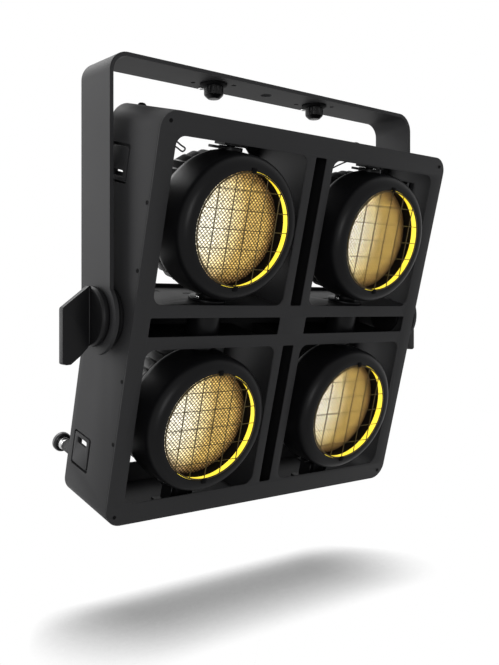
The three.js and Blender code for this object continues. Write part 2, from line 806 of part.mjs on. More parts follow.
// A round connector cup that passes through the panel
function connectorCup(radius, sides) {
  const front = boxRear + connectorProud;
  const inner = radius - connectorWall;
  return turned([
    [0, boxRear - connectorDepth],
    [radius, boxRear - connectorDepth],
    [radius, front],
    [inner, front],
    [inner, front - connectorRecess],
    [0, front - connectorRecess],
  ], 'y', sides);
}

function connectorThroat(radius, sides) {
  return rod('y', radius - connectorWall, boxRear - overrun, boxRear + connectorProud + overrun, sides);
}

function powerConnector() {
  const flange = rod('y', powerFlangeRadius, boxRear + seat, boxRear + seat + socketPlate, powerSides);
  return join(cut(flange, connectorThroat(powerRadius, powerSides)), connectorCup(powerRadius, powerSides));
}

function dataConnectors() {
  const outline = roundedRect(dataPlateWidth, dataPlateHeight, armCorner);
  let plate = slabY(outline, boxRear + seat, boxRear + seat + socketPlate);
  for (const side of [-1, 1]) {
    const x = (side * dataPitch) / 2;
    plate = cut(plate, connectorThroat(dataRadius, dataSides).translate([x, 0, 0]));
    plate = join(plate, connectorCup(dataRadius, dataSides).translate([x, 0, 0]));
  }
  return plate;
}

// Finishes: colour, roughness and metalness
const finishes = {
  paint: [0x1b1b1c, 0.55, 0.2],
  cast: [0x161617, 0.6, 0.2],
  knob: [0x101010, 0.45, 0],
  steel: [0xa8a8aa, 0.35, 1],
  fins: [0x242426, 0.5, 0.6],
  lens: [0xd8b468, 0.3, 0],
  glow: [0xf2c21c, 0.4, 0],
  led: [0xd9d9d2, 0.25, 0.6],
  wire: [0x2a2622, 0.4, 0.8],
  rubber: [0x0c0c0c, 0.8, 0],
  panel: [0x0e0f10, 0.3, 0],
  supply: [0xb5b7ba, 0.4, 0.9],
  button: [0x3a3b3d, 0.6, 0],
};

function place(parent, name, body, finish, position = [0, 0, 0]) {
  const [color, roughness, metalness] = finishes[finish];
  const geometry = body.isBufferGeometry ? body : geometryOf(body);
  const mesh = new THREE.Mesh(geometry, new THREE.MeshStandardMaterial({ color, roughness, metalness }));
  mesh.name = name;
  mesh.position.set(...position);
  parent.add(mesh);
}

function addYoke(parent) {
  place(parent, 'yoke', yoke(), 'paint');
  const socket = geometryOf(clampSocket());
  place(parent, 'clamp_socket_left', socket, 'rubber', [-socketSpacing / 2, 0, 0]);
  place(parent, 'clamp_socket_right', socket, 'rubber', [socketSpacing / 2, 0, 0]);
}

function addTiltKnobs(parent) {
  const knob = tiltKnob();
  place(parent, 'tilt_knob_right', knob, 'knob');
  place(parent, 'tilt_knob_left', knob.mirror([1, 0, 0]), 'knob');
}

function addHousing(parent) {
  place(parent, 'housing_shell', housingShell(), 'paint');
  place(parent, 'front_frame', frontFrame(), 'paint');
  place(parent, 'cross_beam', crossBeam(), 'paint');
  const bush = tiltBush();
  place(parent, 'tilt_bush_right', bush, 'steel');
  place(parent, 'tilt_bush_left', bush.mirror([1, 0, 0]), 'steel');
  const hub = geometryOf(pivotHub());
  const post = pivotPost();
  for (const [sideName, side] of [['left', -1], ['right', 1]]) {
    const at = [side * podOffset, panAxis, 0];
    place(parent, `pivot_hub_${sideName}`, hub, 'cast', at);
    place(parent, `pivot_post_upper_${sideName}`, post, 'cast', at);
    place(parent, `pivot_post_lower_${sideName}`, post.mirror([0, 0, 1]), 'cast', at);
  }
}

function addLinks(parent) {
  const screw = geometryOf(thumbScrew());
  for (const [sideName, side] of [['left', -1], ['right', 1]]) {
    for (const [endName, end] of [['upper', 1], ['lower', -1]]) {
      const at = [side * (half - screwInset), 0, end * (armHinge + screwRise)];
      place(parent, `link_arm_${endName}_${sideName}`, linkArm(side, end), 'paint');
      place(parent, `thumb_screw_${endName}_${sideName}`, screw, 'rubber', at);
    }
  }
}

function addDriverBox(parent) {
  place(parent, 'driver_box', driverBox(), 'paint');
  place(parent, 'power_supply', powerSupply(), 'supply');
  place(parent, 'display_window', displayWindow(), 'panel');
  const button = geometryOf(menuButton());
  spread(buttonCount, buttonPitch).forEach((x, i) => {
    place(parent, `menu_button_${i + 1}`, button, 'button', [x, 0, buttonRise]);
  });
  const power = geometryOf(powerConnector());
  place(parent, 'power_inlet', power, 'rubber', [powerPitch / 2, 0, powerRise]);
  place(parent, 'power_outlet', power, 'rubber', [-powerPitch / 2, 0, powerRise]);
  place(parent, 'data_connectors', dataConnectors(), 'rubber', [0, 0, dataRise]);
}

function addPods(parent) {
  const pieces = [
    ['bezel', geometryOf(bezel()), 'cast'],
    ['heat_sink', geometryOf(heatSink()), 'fins'],
    ['led_module', geometryOf(ledModule()), 'led'],
    ['lens', geometryOf(lens()), 'lens'],
    ['glow_ring', geometryOf(glowRing()), 'glow'],
    ['wire_guard', geometryOf(wireGuard()), 'wire'],
  ];
  for (const [sideName, side] of [['left', -1], ['right', 1]]) {
    for (const [endName, end] of [['upper', 1], ['lower', -1]]) {
      const pod = new THREE.Group();
      pod.position.set(side * podOffset, panAxis, end * podOffset);
      for (const [name, geometry, finish] of pieces) {
        place(pod, `${name}_${endName}_${sideName}`, geometry, finish);
      }
      if (end > 0) place(pod, `lead_upper_${sideName}`, podLead(leadRoutes[sideName]), 'rubber');
      parent.add(pod);
    }
  }
}

const group = new THREE.Group();
group.position.z = -yokeRise;
addYoke(group);
addTiltKnobs(group);

const housing = new THREE.Group();
housing.rotation.x = housingTilt;
group.add(housing);
addHousing(housing);
addLinks(housing);
addDriverBox(housing);
addPods(housing);

export default group;
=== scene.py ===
"""Looks of the audience blinder light: finishes, fine shapes, fasteners, stage, lamps and camera."""

import json
import math

import bmesh
import bpy
from mathutils import Matrix, Vector

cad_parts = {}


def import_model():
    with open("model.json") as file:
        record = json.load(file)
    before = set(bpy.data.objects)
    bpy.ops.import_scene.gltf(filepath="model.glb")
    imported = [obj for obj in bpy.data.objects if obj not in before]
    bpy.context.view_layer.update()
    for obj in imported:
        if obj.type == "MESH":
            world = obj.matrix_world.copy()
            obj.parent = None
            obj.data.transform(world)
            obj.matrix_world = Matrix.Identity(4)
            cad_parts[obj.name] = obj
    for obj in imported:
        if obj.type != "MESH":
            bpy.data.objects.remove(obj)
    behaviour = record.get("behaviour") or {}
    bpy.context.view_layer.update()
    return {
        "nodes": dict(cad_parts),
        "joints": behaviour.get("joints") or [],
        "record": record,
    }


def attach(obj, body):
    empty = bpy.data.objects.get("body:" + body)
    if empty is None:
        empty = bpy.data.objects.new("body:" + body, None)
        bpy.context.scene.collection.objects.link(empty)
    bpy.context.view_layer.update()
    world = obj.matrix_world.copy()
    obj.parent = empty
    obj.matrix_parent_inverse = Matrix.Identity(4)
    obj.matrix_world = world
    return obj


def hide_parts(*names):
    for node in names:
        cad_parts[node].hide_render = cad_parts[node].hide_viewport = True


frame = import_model()

MM = 0.001
SIDES = {"left": -1, "right": 1}
ENDS = {"upper": 1, "lower": -1}
CORNERS = [(end, side) for end in ENDS for side in SIDES]
SIGNS = [(sx, sz) for sx in (-1, 1) for sz in (-1, 1)]

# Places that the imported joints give
JOINTS = {j["name"]: j for j in frame["joints"]}
PIVOT = Vector(JOINTS["housing_tilt"]["pos_m"])
PAN_AXIS = Vector(JOINTS["pod_upper_left_pan"]["axis"])
TILT = math.atan2(-PAN_AXIS.y, PAN_AXIS.z)
YOKE = Matrix.Translation(PIVOT)
HOUSING = YOKE @ Matrix.Rotation(TILT, 4, "X")


def pod_space(end, side):
    """A pod's own space, with its origin on the pan axis."""
    on_axis = HOUSING.inverted() @ Vector(JOINTS[f"pod_{end}_{side}_pan"]["pos_m"])
    return HOUSING @ Matrix.Translation(on_axis)


PODS = {corner: pod_space(*corner) for corner in CORNERS}


def extent(node, space):
    """A CAD node's lowest and highest corner in a space, in millimetres."""
    inverse = space.inverted()
    points = [inverse @ v.co for v in frame["nodes"][node].data.vertices]
    low = Vector(min(p[i] for p in points) / MM for i in range(3))
    high = Vector(max(p[i] for p in points) / MM for i in range(3))
    return low, high


# Sizes that several pieces share, in millimetres
HALF = extent("housing_shell", HOUSING)[1].x
REAR = -extent("front_frame", HOUSING)[0].y
STRAP = 4.0  # the yoke's thickness
SHEET = 2.0  # the housing's walls
CORNER = 18.0  # radius of the housing's corners
PAN_X, PAN_Y = 100, -18  # the pan axis in the housing's space
SOCKET_X = 73.5  # middle of the yoke to a clamp socket
ARM_Y, ARM_Z = 18, 144.5  # middle of a link arm
GUARD_FRONT = -42.4  # the front of a guard's tab
LEAD_ROUTES = {
    "left": [(-12.6, 0, 88), (-22, 10, 90.5), (-38, 30, 90), (-47, 44, 84), (-38, 49, 76.5), (-25, 50, 69),
             (-18, 50, 65.5), (-20, 50.5, 62.5), (-31, 51, 66.5), (-44, 54, 65), (-51, 58, 55), (-49, 60, 45),
             (-42, 56.5, 38), (-39, 53.5, 36)],
    "right": [(12.6, 0, 88), (21, 10, 90.5), (23, 30, 88), (13, 47, 79.5), (1, 51, 72.5), (-9, 52.5, 66.4),
              (-17, 55.5, 58), (-20, 59, 48), (-17, 58.5, 40), (-12, 53.5, 36)],
}


# Mesh tools, all in millimetres


def fillet(corners, facets=8):
    """A closed outline through (u, v, radius) corners, each rounded to its radius."""
    points = []
    count = len(corners)
    for i, (u, v, radius) in enumerate(corners):
        here = Vector((u, v))
        if radius <= 0:
            points.append(here)
            continue
        before = (Vector(corners[i - 1][:2]) - here).normalized()
        after = (Vector(corners[(i + 1) % count][:2]) - here).normalized()
        half = before.angle(after) / 2
        centre = here + (before + after).normalized() * (radius / math.sin(half))
        start = here + before * (radius / math.tan(half)) - centre
        end = here + after * (radius / math.tan(half)) - centre
        first = math.atan2(start.y, start.x)
        sweep = (math.atan2(end.y, end.x) - first + math.pi) % (2 * math.pi) - math.pi
        for step in range(facets + 1):
            angle = first + sweep * step / facets
            points.append(centre + radius * Vector((math.cos(angle), math.sin(angle))))
    return points


def rectangle(width, height, radius, u=0.0, v=0.0, facets=8):
    half_width, half_height = width / 2, height / 2
    corners = [(-1, -1), (1, -1), (1, 1), (-1, 1)]
    return fillet([(u + a * half_width, v + b * half_height, radius) for a, b in corners], facets)


def turns(count):
    """Even angles round a full circle."""
    return [2 * math.pi * i / count for i in range(count)]


def circle(radius, u=0.0, v=0.0, facets=48):
    return [Vector((u + radius * math.cos(t), v + radius * math.sin(t))) for t in turns(facets)]


def quarter(axis, count=1):
    """A turn by so many right angles about an axis."""
    return Matrix.Rotation(count * math.pi / 2, 4, axis)


def plate(outlines, depth, edge=0.0):
    """A plate from closed outlines in X and Z, the outer one first, from Y zero to depth."""
    curve = bpy.data.curves.new("plate", "CURVE")
    curve.dimensions = "2D"
    curve.fill_mode = "BOTH"
    curve.extrude = depth / 2 - edge
    curve.bevel_depth = edge
    curve.bevel_resolution = 1
    curve.offset = -edge
    for points in outlines:
        spline = curve.splines.new("POLY")
        spline.points.add(len(points) - 1)
        for place, point in zip(spline.points, points):
            place.co = (point[0], point[1], 0.0, 1.0)
        spline.use_cyclic_u = True
    mesh = curve_mesh(curve)
    mesh.transform(Matrix.Translation((0, depth / 2, 0)) @ quarter("X"))
    return welded(mesh)


def curve_mesh(curve):
    """The mesh that a curve makes, without the curve."""
    holder = bpy.data.objects.new(curve.name, curve)
    mesh = bpy.data.meshes.new_from_object(holder)
    bpy.data.objects.remove(holder)
    bpy.data.curves.remove(curve)
    return mesh


def welded(mesh, distance=1e-4):
    """The mesh with coincident points merged and its faces pointing out."""
    bm = bmesh.new()
    bm.from_mesh(mesh)
    bmesh.ops.remove_doubles(bm, verts=bm.verts, dist=distance)
    bmesh.ops.recalc_face_normals(bm, faces=bm.faces)
    return taken(bm, mesh)


def taken(bm, mesh):
    """The mesh, filled from a bmesh that is then freed."""
    bm.to_mesh(mesh)
    bm.free()
    return mesh


def lathe(profile, axis="Y", segments=96):
    """A profile of (radius, along) points turned about an axis. It is closed, or ends on the axis."""
    bm = bmesh.new()
    rings = []
    for radius, along in profile:
        if radius < 1e-6:
            rings.append([bm.verts.new((0, along, 0))])
            continue
        around_it = [(radius * math.cos(t), along, radius * math.sin(t)) for t in turns(segments)]
        rings.append([bm.verts.new(point) for point in around_it])
    open_ended = profile[0][0] < 1e-6 or profile[-1][0] < 1e-6
    pairs = list(zip(rings, rings[1:])) + ([] if open_ended else [(rings[-1], rings[0])])
    for one, other in pairs:
        for i in range(segments):
            j = (i + 1) % segments
            corners = [one[i % len(one)], one[j % len(one)], other[j % len(other)], other[i % len(other)]]
            unique = list(dict.fromkeys(corners))
            if len(unique) > 2:
                bm.faces.new(unique)
    bmesh.ops.recalc_face_normals(bm, faces=bm.faces)
    mesh = taken(bm, bpy.data.meshes.new("lathe"))
    if axis == "X":
        mesh.transform(quarter("Z", -1))
    if axis == "Z":
        mesh.transform(quarter("X"))
    return mesh


def cylinder(radius, low, high, axis="Y", segments=48):
    """A sharp-edged cylinder, for cutting and joining."""
    return lathe([(0, low), (radius, low), (radius, high), (0, high)], axis, segments)


def turned(corners, axis="Y", segments=64, facets=4):
    """A lathe whose (radius, along, fillet) corners are rounded; it starts and ends on the axis."""
    inner = fillet([*corners, (-1.0, corners[-1][1], 0), (-1.0, corners[0][1], 0)], facets)
    profile = [(max(p.x, 0.0), p.y) for p in inner[:-2]]
    return lathe(profile, axis, segments)


def rod(radius, low, high, axis="Z", segments=32, edge=0.3):
    return turned([(0, low, 0), (radius, low, edge), (radius, high, edge), (0, high, 0)], axis, segments, 2)


def box(low, high):
    """A plain block between two corners."""
    bm = bmesh.new()
    bmesh.ops.create_cube(bm, size=1.0)
    low, high = Vector(low), Vector(high)
    for v in bm.verts:
        v.co = Vector((low[i] + high[i]) / 2 + v.co[i] * (high[i] - low[i]) for i in range(3))
    return taken(bm, bpy.data.meshes.new("box"))


def block(one, other, edge, segments=1):
    """A block between any two opposite corners, with its edges rounded over."""
    low = [min(a, b) for a, b in zip(one, other)]
    high = [max(a, b) for a, b in zip(one, other)]
    return softened(box(low, high), edge, segments)


def moved(mesh, x=0.0, y=0.0, z=0.0, turn=None):
    """A copy of the mesh, turned by a matrix and then moved."""
    copy = mesh.copy()
    copy.transform(Matrix.Translation((x, y, z)) @ (turn or Matrix()))
    return copy


def around(mesh, radius, count, axis, start=0.0):
    """Copies of the mesh, each moved to its place on a circle about an axis."""
    copies = []
    for angle in turns(count):
        u, v = radius * math.cos(angle + start), radius * math.sin(angle + start)
        place = {"X": (0, u, v), "Y": (u, 0, v), "Z": (u, v, 0)}[axis]
        copies.append(moved(mesh, *place))
    return copies


def mirrored(mesh, axis, sign=-1):
    """A copy of the mesh, mirrored along an axis where the sign is negative, with its faces pointing out."""
    copy = mesh.copy()
    if sign > 0:
        return copy
    scale = [-1 if i == "XYZ".index(axis) else 1 for i in range(3)]
    copy.transform(Matrix.Diagonal((*scale, 1)))
    copy.flip_normals()
    return copy


def merged(*meshes):
    """One mesh that holds them all."""
    bm = bmesh.new()
    for mesh in meshes:
        bm.from_mesh(mesh)
    return taken(bm, bpy.data.meshes.new("merged"))


def modified(body, kind, tools=(), **settings):
    """The body after a modifier of this kind, once for each tool where tools are given."""
    holders = [bpy.data.objects.new("made", mesh) for mesh in [body, *tools]]
    for holder in holders:
        bpy.context.scene.collection.objects.link(holder)
    for tool in holders[1:] or [None]:
        modifier = holders[0].modifiers.new("made", kind)
        if tool:
            modifier.object = tool
        for key, value in settings.items():
            setattr(modifier, key, value)
    bpy.context.view_layer.update()
    shaped = holders[0].evaluated_get(bpy.context.evaluated_depsgraph_get())
    made = bpy.data.meshes.new_from_object(shaped)
    for holder in holders:
        bpy.data.objects.remove(holder)
    return made


def carved(body, tools, operation="DIFFERENCE"):
    """The body with each tool cut away or joined."""
    return modified(body, "BOOLEAN", tools, operation=operation, solver="EXACT")


def softened(mesh, width, segments=2, angle=35):
    """The mesh with its hard edges rounded over."""
    return modified(mesh, "BEVEL", width=width, segments=segments, limit_method="ANGLE",
                    angle_limit=math.radians(angle), use_clamp_overlap=True)


def tube(points, radius, sides=12):
    """A round tube along a path."""
    curve = bpy.data.curves.new("tube", "CURVE")
    curve.dimensions = "3D"
    curve.bevel_depth = radius
    curve.bevel_resolution = max(sides // 4 - 1, 1)
    curve.use_fill_caps = True
    spline = curve.splines.new("POLY")
    spline.points.add(len(points) - 1)
    for place, point in zip(spline.points, points):
        place.co = (*point, 1.0)
    return welded(curve_mesh(curve))


def screw(radius, height, socket_share=0.52):
    """A button-head screw with a six-sided socket, its seat at zero and its head towards -Y."""
    hexagon = circle(radius * socket_share, facets=6)
    ring = plate([circle(radius, facets=28), hexagon], height, height * 0.35)
    floor = cylinder(radius * 0.8, height * 0.55, height, segments=20)
    return moved(merged(ring, floor), y=-height)


def shaded(mesh, angle=38):
    """Smooth shading, with edges sharper than the angle kept crisp."""
    bm = bmesh.new()
    bm.from_mesh(mesh)
    for face in bm.faces:
        face.smooth = True
    for edge in bm.edges:
        sharp = len(edge.link_faces) != 2 or edge.calc_face_angle(0) > math.radians(angle)
        edge.smooth = not sharp
    taken(bm, mesh)


def add(name, mesh, space, body, material, stands_for=()):
    """Puts a finished mesh into the scene as a piece of the object."""
    mesh.transform(Matrix.Diagonal((MM, MM, MM, 1)))
    shaded(mesh)
    mesh.name = name
    mesh.materials.clear()
    mesh.materials.append(material)
    for face in mesh.polygons:
        face.material_index = 0
    piece = bpy.data.objects.new(name, mesh)
    bpy.context.scene.collection.objects.link(piece)
    piece.matrix_world = space
    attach(piece, body)
    if stands_for:
        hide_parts(*stands_for)
    return piece


# Shader tools


def new_group(name, inputs, outputs):
    tree = bpy.data.node_groups.new(name, "ShaderNodeTree")
    for label, kind, default in inputs:
        socket = tree.interface.new_socket(name=label, in_out="INPUT", socket_type=kind)
        socket.default_value = default
    for label, kind in outputs:
        tree.interface.new_socket(name=label, in_out="OUTPUT", socket_type=kind)
    return tree, tree.nodes.new("NodeGroupInput"), tree.nodes.new("NodeGroupOutput")


def new_material(name):
    material = bpy.data.materials.new(name)
    material.use_nodes = True
    tree = material.node_tree
    return material, tree, tree.nodes["Principled BSDF"]


def feed(tree, made, given):
    """Sets a node's inputs to numbers and colours, or links outputs to them."""
    for name, value in given.items():
        if isinstance(value, bpy.types.NodeSocket):
            tree.links.new(value, made.inputs[name])
        else:
            made.inputs[name].default_value = value


def node(tree, kind, given, **settings):
    made = tree.nodes.new(kind)
    for key, value in settings.items():
        setattr(made, key, value)
    feed(tree, made, given)
    return made


def math_node(tree, operation, first, second=0.5):
    return node(tree, "ShaderNodeMath", {0: first, 1: second}, operation=operation).outputs[0]


def product(tree, first, *others):
    for other in others:
        first = math_node(tree, "MULTIPLY", first, other)
    return first


def length(tree, across, up):
    """How far a point is from the middle."""
    squares = [math_node(tree, "POWER", value, 2.0) for value in (across, up)]
    return math_node(tree, "SQRT", math_node(tree, "ADD", *squares))


def object_place(tree):
    return node(tree, "ShaderNodeTexCoord", {}).outputs["Object"]


def laid(tree, place, rotation, scale=(1, 1, 1)):
    """The place, turned and stretched."""
    return node(tree, "ShaderNodeMapping", {"Vector": place, "Rotation": rotation, "Scale": scale}).outputs[0]


def noise(tree, place, scale=5.0, detail=2.0):
    return node(tree, "ShaderNodeTexNoise", {"Vector": place, "Scale": scale, "Detail": detail}).outputs[0]


def bands(tree, place, direction, scale, distortion, detail_scale=1.0):
    given = {"Vector": place, "Scale": scale, "Distortion": distortion, "Detail Scale": detail_scale}
    return node(tree, "ShaderNodeTexWave", given, wave_type="BANDS", bands_direction=direction).outputs["Fac"]


def remap(tree, value, low, high, start=0.0, stop=1.0):
    """The value, spread so that start gives low and stop gives high."""
    given = {"Value": value, "From Min": start, "From Max": stop, "To Min": low, "To Max": high}
    return node(tree, "ShaderNodeMapRange", given).outputs[0]


def mix_colours(tree, factor, one, other, blend="MIX"):
    given = {"Factor": factor, "A": one, "B": other}
    return node(tree, "ShaderNodeMix", given, data_type="RGBA", blend_type=blend).outputs["Result"]


def ramp(tree, value, stops):
    made = node(tree, "ShaderNodeValToRGB", {0: value})
    elements = made.color_ramp.elements
    while len(elements) < len(stops):
        elements.new(0.5)
    for element, (place, colour) in zip(elements, stops):
        element.position = place
        element.color = (*colour, 1)
    return made.outputs[0]


def bump(tree, height, distance, strength, shader):
    made = node(tree, "ShaderNodeBump", {"Strength": strength, "Distance": distance, "Height": height})
    feed(tree, shader, {"Normal": made.outputs[0]})


# Shader groups that several finishes share


def build_coat_group():
    """Sprayed coat: a fine orange-peel height, and soft patches in tone and gloss."""
    tree, given, put = new_group(
        "sprayed_coat",
        [
            ("Colour", "NodeSocketColor", (0.02, 0.02, 0.02, 1)),
            ("Gloss", "NodeSocketFloat", 0.5),
            ("Peel Scale", "NodeSocketFloat", 900.0),
            ("Patch", "NodeSocketFloat", 0.12),
        ],
        [("Colour", "NodeSocketColor"), ("Roughness", "NodeSocketFloat"), ("Height", "NodeSocketFloat")],
    )
    place = object_place(tree)
    peel = noise(tree, place, given.outputs["Peel Scale"], 3)
    patch = noise(tree, place, 14, 4)
    swing = product(tree, math_node(tree, "SUBTRACT", patch, 0.5), given.outputs["Patch"])
    value = math_node(tree, "ADD", product(tree, swing, 2.0), 1.0)
    tone = node(tree, "ShaderNodeHueSaturation", {"Color": given.outputs["Colour"], "Value": value})
    gloss = math_node(tree, "ADD", given.outputs["Gloss"], swing)
    feed(tree, put, {"Colour": tone.outputs[0], "Roughness": gloss, "Height": peel})
    return tree


def build_scuff_group():
    """Fine scuffs: thin random streaks that lighten the coat a little."""
    tree, given, put = new_group(
        "fine_scuffs",
        [
            ("Colour", "NodeSocketColor", (0.02, 0.02, 0.02, 1)),
            ("Scuff Colour", "NodeSocketColor", (0.09, 0.09, 0.09, 1)),
            ("Amount", "NodeSocketFloat", 0.25),
        ],
        [("Colour", "NodeSocketColor"), ("Mask", "NodeSocketFloat")],
    )
    place = object_place(tree)
    stretched = laid(tree, place, (0.4, 0.9, 0.2), (260, 260, 26))
    streak = remap(tree, noise(tree, stretched), 0, 1, 0.68, 0.78)
    zone = remap(tree, noise(tree, place, 22), 0, 1, 0.5, 0.7)
    mask = product(tree, streak, zone, given.outputs["Amount"])
    mixed = mix_colours(tree, mask, given.outputs["Colour"], given.outputs["Scuff Colour"])
    feed(tree, put, {"Colour": mixed, "Mask": mask})
    return tree


COAT = build_coat_group()
SCUFFS = build_scuff_group()


def coated(name, colour, gloss, specular=0.5, peel_scale=900.0, peel_depth=0.00006, patch=0.1, scuff=0.2):
    """A painted or moulded finish: sprayed coat, fine scuffs and a shallow bump."""
    material, tree, shader = new_material(name)
    given = {"Colour": (*colour, 1), "Gloss": gloss, "Peel Scale": peel_scale, "Patch": patch}
    coat = node(tree, "ShaderNodeGroup", given, node_tree=COAT)
    lighter = (*[min(c * 3 + 0.03, 1) for c in colour], 1)
    given = {"Colour": coat.outputs["Colour"], "Scuff Colour": lighter, "Amount": scuff}
    scuffs = node(tree, "ShaderNodeGroup", given, node_tree=SCUFFS)
    feed(tree, shader, {"Base Color": scuffs.outputs["Colour"], "Roughness": coat.outputs["Roughness"],
                        "Specular IOR Level": specular})
    bump(tree, coat.outputs["Height"], peel_depth, 0.5, shader)
    return material


def lens_material():
    """Amber patterned lens with painted light: a painted glow, whitish at the left and gold at the right,
    painted shade that dims the rim, and emission of its own.
    """
    material, tree, shader = new_material("lens_amber")
    place = object_place(tree)
    apart = node(tree, "ShaderNodeSeparateXYZ", {0: place})
    radius = extent("lens_upper_left", PODS["upper", "left"])[1].x * MM
    across, up = (product(tree, apart.outputs[axis], 1 / radius) for axis in "XZ")
    # Painted light: the colour grows whiter towards a glow centred off the lens's left edge.
    distance_from_painted_glow = length(tree, math_node(tree, "ADD", across, 0.72),
                       product(tree, math_node(tree, "SUBTRACT", up, 0.08), 0.75))
    body = ramp(tree, distance_from_painted_glow, [(0.0, (1.0, 0.97, 0.9)), (0.42, (0.97, 0.9, 0.7)), (0.8, (0.77, 0.61, 0.3)),
                                  (1.0, (0.52, 0.35, 0.11))])
    # Painted shade: the colour darkens towards the rim.
    edge = ramp(tree, length(tree, across, up), [(0.0, (1, 1, 1)), (0.72, (1, 1, 1)), (0.9, (0.4, 0.35, 0.4)),
                                                 (1.0, (0.04, 0.03, 0.06))])
    leans = (math.pi / 4, -math.pi / 4)
    threads = [bands(tree, laid(tree, place, (0, lean, 0)), "X", 104, 0.5, 60) for lean in leans]
    dots = remap(tree, product(tree, *threads), 0.2, 1.6, 0, 0.7)
    lines = remap(tree, bands(tree, place, "Z", 118, 0.4), 0.7, 1.12)
    patches = remap(tree, noise(tree, place, 60), 0.78, 1.2)
    specks = remap(tree, noise(tree, place, 300, 3), 0.5, 1.45, 0.3, 0.7)
    shape = mix_colours(tree, 1, body, edge, "MULTIPLY")
    pattern_in_painted_light = mix_colours(tree, 1, shape, product(tree, dots, lines, patches, specks), "MULTIPLY")
    # The lens shines by its own emission, a painted glow with no lamp behind it.
    feed(tree, shader, {"Base Color": pattern_in_painted_light, "Emission Color": pattern_in_painted_light, "Emission Strength": 0.8,
                        "Roughness": 0.35, "Specular IOR Level": 0.2})
    bump(tree, dots, 0.0003, 0.5, shader)
    return material


def glow_material():
    """Yellow diffuser with a painted glow from its own emission, a little paler in places."""
    material, tree, shader = new_material("glow_yellow")
    cloud = noise(tree, object_place(tree), 30)
    colour = ramp(tree, cloud, [(0.3, (0.95, 0.72, 0.03)), (0.7, (1.0, 0.84, 0.09))])
    # Painted glow: the diffuser shines by its own emission.
    feed(tree, shader, {"Base Color": colour, "Emission Color": colour, "Emission Strength": 0.9,
                        "Roughness": 0.4})
    bump(tree, cloud, 0.0002, 0.2, shader)
    return material


def steel_material(name, colour, roughness):
    """Turned or drawn metal with fine lines and soft patches."""
    material, tree, shader = new_material(name)
    grain = noise(tree, object_place(tree), 1400)
    dark = tuple(c * 0.8 for c in colour)
    tone = ramp(tree, grain, [(0.3, dark), (0.7, colour)])
    gloss = remap(tree, grain, roughness - 0.06, roughness + 0.08)
    feed(tree, shader, {"Base Color": tone, "Roughness": gloss, "Metallic": 1})
    bump(tree, grain, 0.00003, 0.3, shader)
    return material


PAINT = coated("black_powder_coat", (0.021, 0.021, 0.022), 0.6, 0.17)
# A darker copy of the black paint for the beam inside the housing: painted shade.
SHADED_INNER_PAINT = coated("black_paint_darkened_as_shade", (0.008, 0.008, 0.0085), 0.45, 0.1)
CAST = coated("black_cast_paint", (0.0035, 0.0035, 0.004), 0.35, 0.11, 1300, patch=0.08, scuff=0.1)
FIN_BLACK = coated("black_anodised_fins", (0.004, 0.004, 0.0045), 0.3, 0.14, 1800, scuff=0.1)
KNOB_BLACK = coated("black_moulded_knob", (0.006, 0.006, 0.0065), 0.4, 0.12, 1500, scuff=0.15)
SOCKET_BLACK = coated("glossy_black_socket", (0.003, 0.003, 0.0033), 0.26, 0.14, 1500, scuff=0.1)
GRIP_BLACK = coated("glossy_black_grip", (0.006, 0.006, 0.007), 0.24, 0.35, 1500, scuff=0.15)
LEAD_BLACK = coated("black_lead_jacket", (0.012, 0.012, 0.013), 0.45, 0.3, 2200, scuff=0.05)
FASTENER_BLACK = coated("blackened_fastener", (0.003, 0.003, 0.0033), 0.68, 0.06, 2500, scuff=0.1)
DULL_BLACK = coated("dull_black_plastic", (0.014, 0.014, 0.015), 0.6, 0.3, 1600, scuff=0.15)
DISPLAY = coated("smoked_display", (0.006, 0.007, 0.009), 0.12, 0.5, 300, 0.00001, scuff=0.05)
BUTTON_GREY = coated("grey_button", (0.11, 0.11, 0.115), 0.55, 0.5, 1600, scuff=0.1)
WIRE = steel_material("bronzed_guard_wire", (0.075, 0.058, 0.03), 0.4)
STEEL = steel_material("plain_steel", (0.5, 0.5, 0.51), 0.32)
BRIGHT = steel_material("bright_fastener", (0.72, 0.72, 0.72), 0.25)
REFLECTOR = steel_material("spun_reflector", (0.85, 0.84, 0.8), 0.18)
SUPPLY = steel_material("supply_sheet", (0.55, 0.56, 0.57), 0.4)
LENS = lens_material()
GLOW = glow_material()


# The pieces


def from_middle(low, high):
    """How near to the middle and how far from it a part at one side reaches."""
    return sorted((abs(low), abs(high)))


def yoke():
    """The bent strap with its round ends and its holes."""
    high = extent("yoke", YOKE)[1]
    outer, top, end_radius = high.x, high.z, high.y
    inner, half_width, bend = outer - STRAP, 26.5, 20.0
    under, inner_bend = top - STRAP, bend - STRAP
    hoop = fillet([(-outer, 0, 0), (-outer, top, bend), (outer, top, bend), (outer, 0, 0), (inner, 0, 0),
                   (inner, under, inner_bend), (-inner, under, inner_bend), (-inner, 0, 0)], 14)
    body = moved(plate([hoop], 2 * half_width), y=-half_width)
    discs = [cylinder(end_radius, a, b, "X", 96) for a, b in ((-outer, -inner), (inner, outer))]
    body = carved(body, discs, "UNION")
    hanging, socket, pilot = 6.5, 7.3, 2.6
    holes = [(hanging, 0, 0)]
    for x in (-SOCKET_X, SOCKET_X):
        holes += [(socket, x, 0), (pilot, x - 20, 9), (pilot, x + 20, -9)]
    drills = [moved(cylinder(radius, top - 3 * STRAP, top + STRAP, "Z", 32), x, y) for radius, x, y in holes]
    strap = softened(carved(body, drills), 0.5)
    add("yoke_strap", strap, YOKE, "yoke", PAINT, ["yoke"])


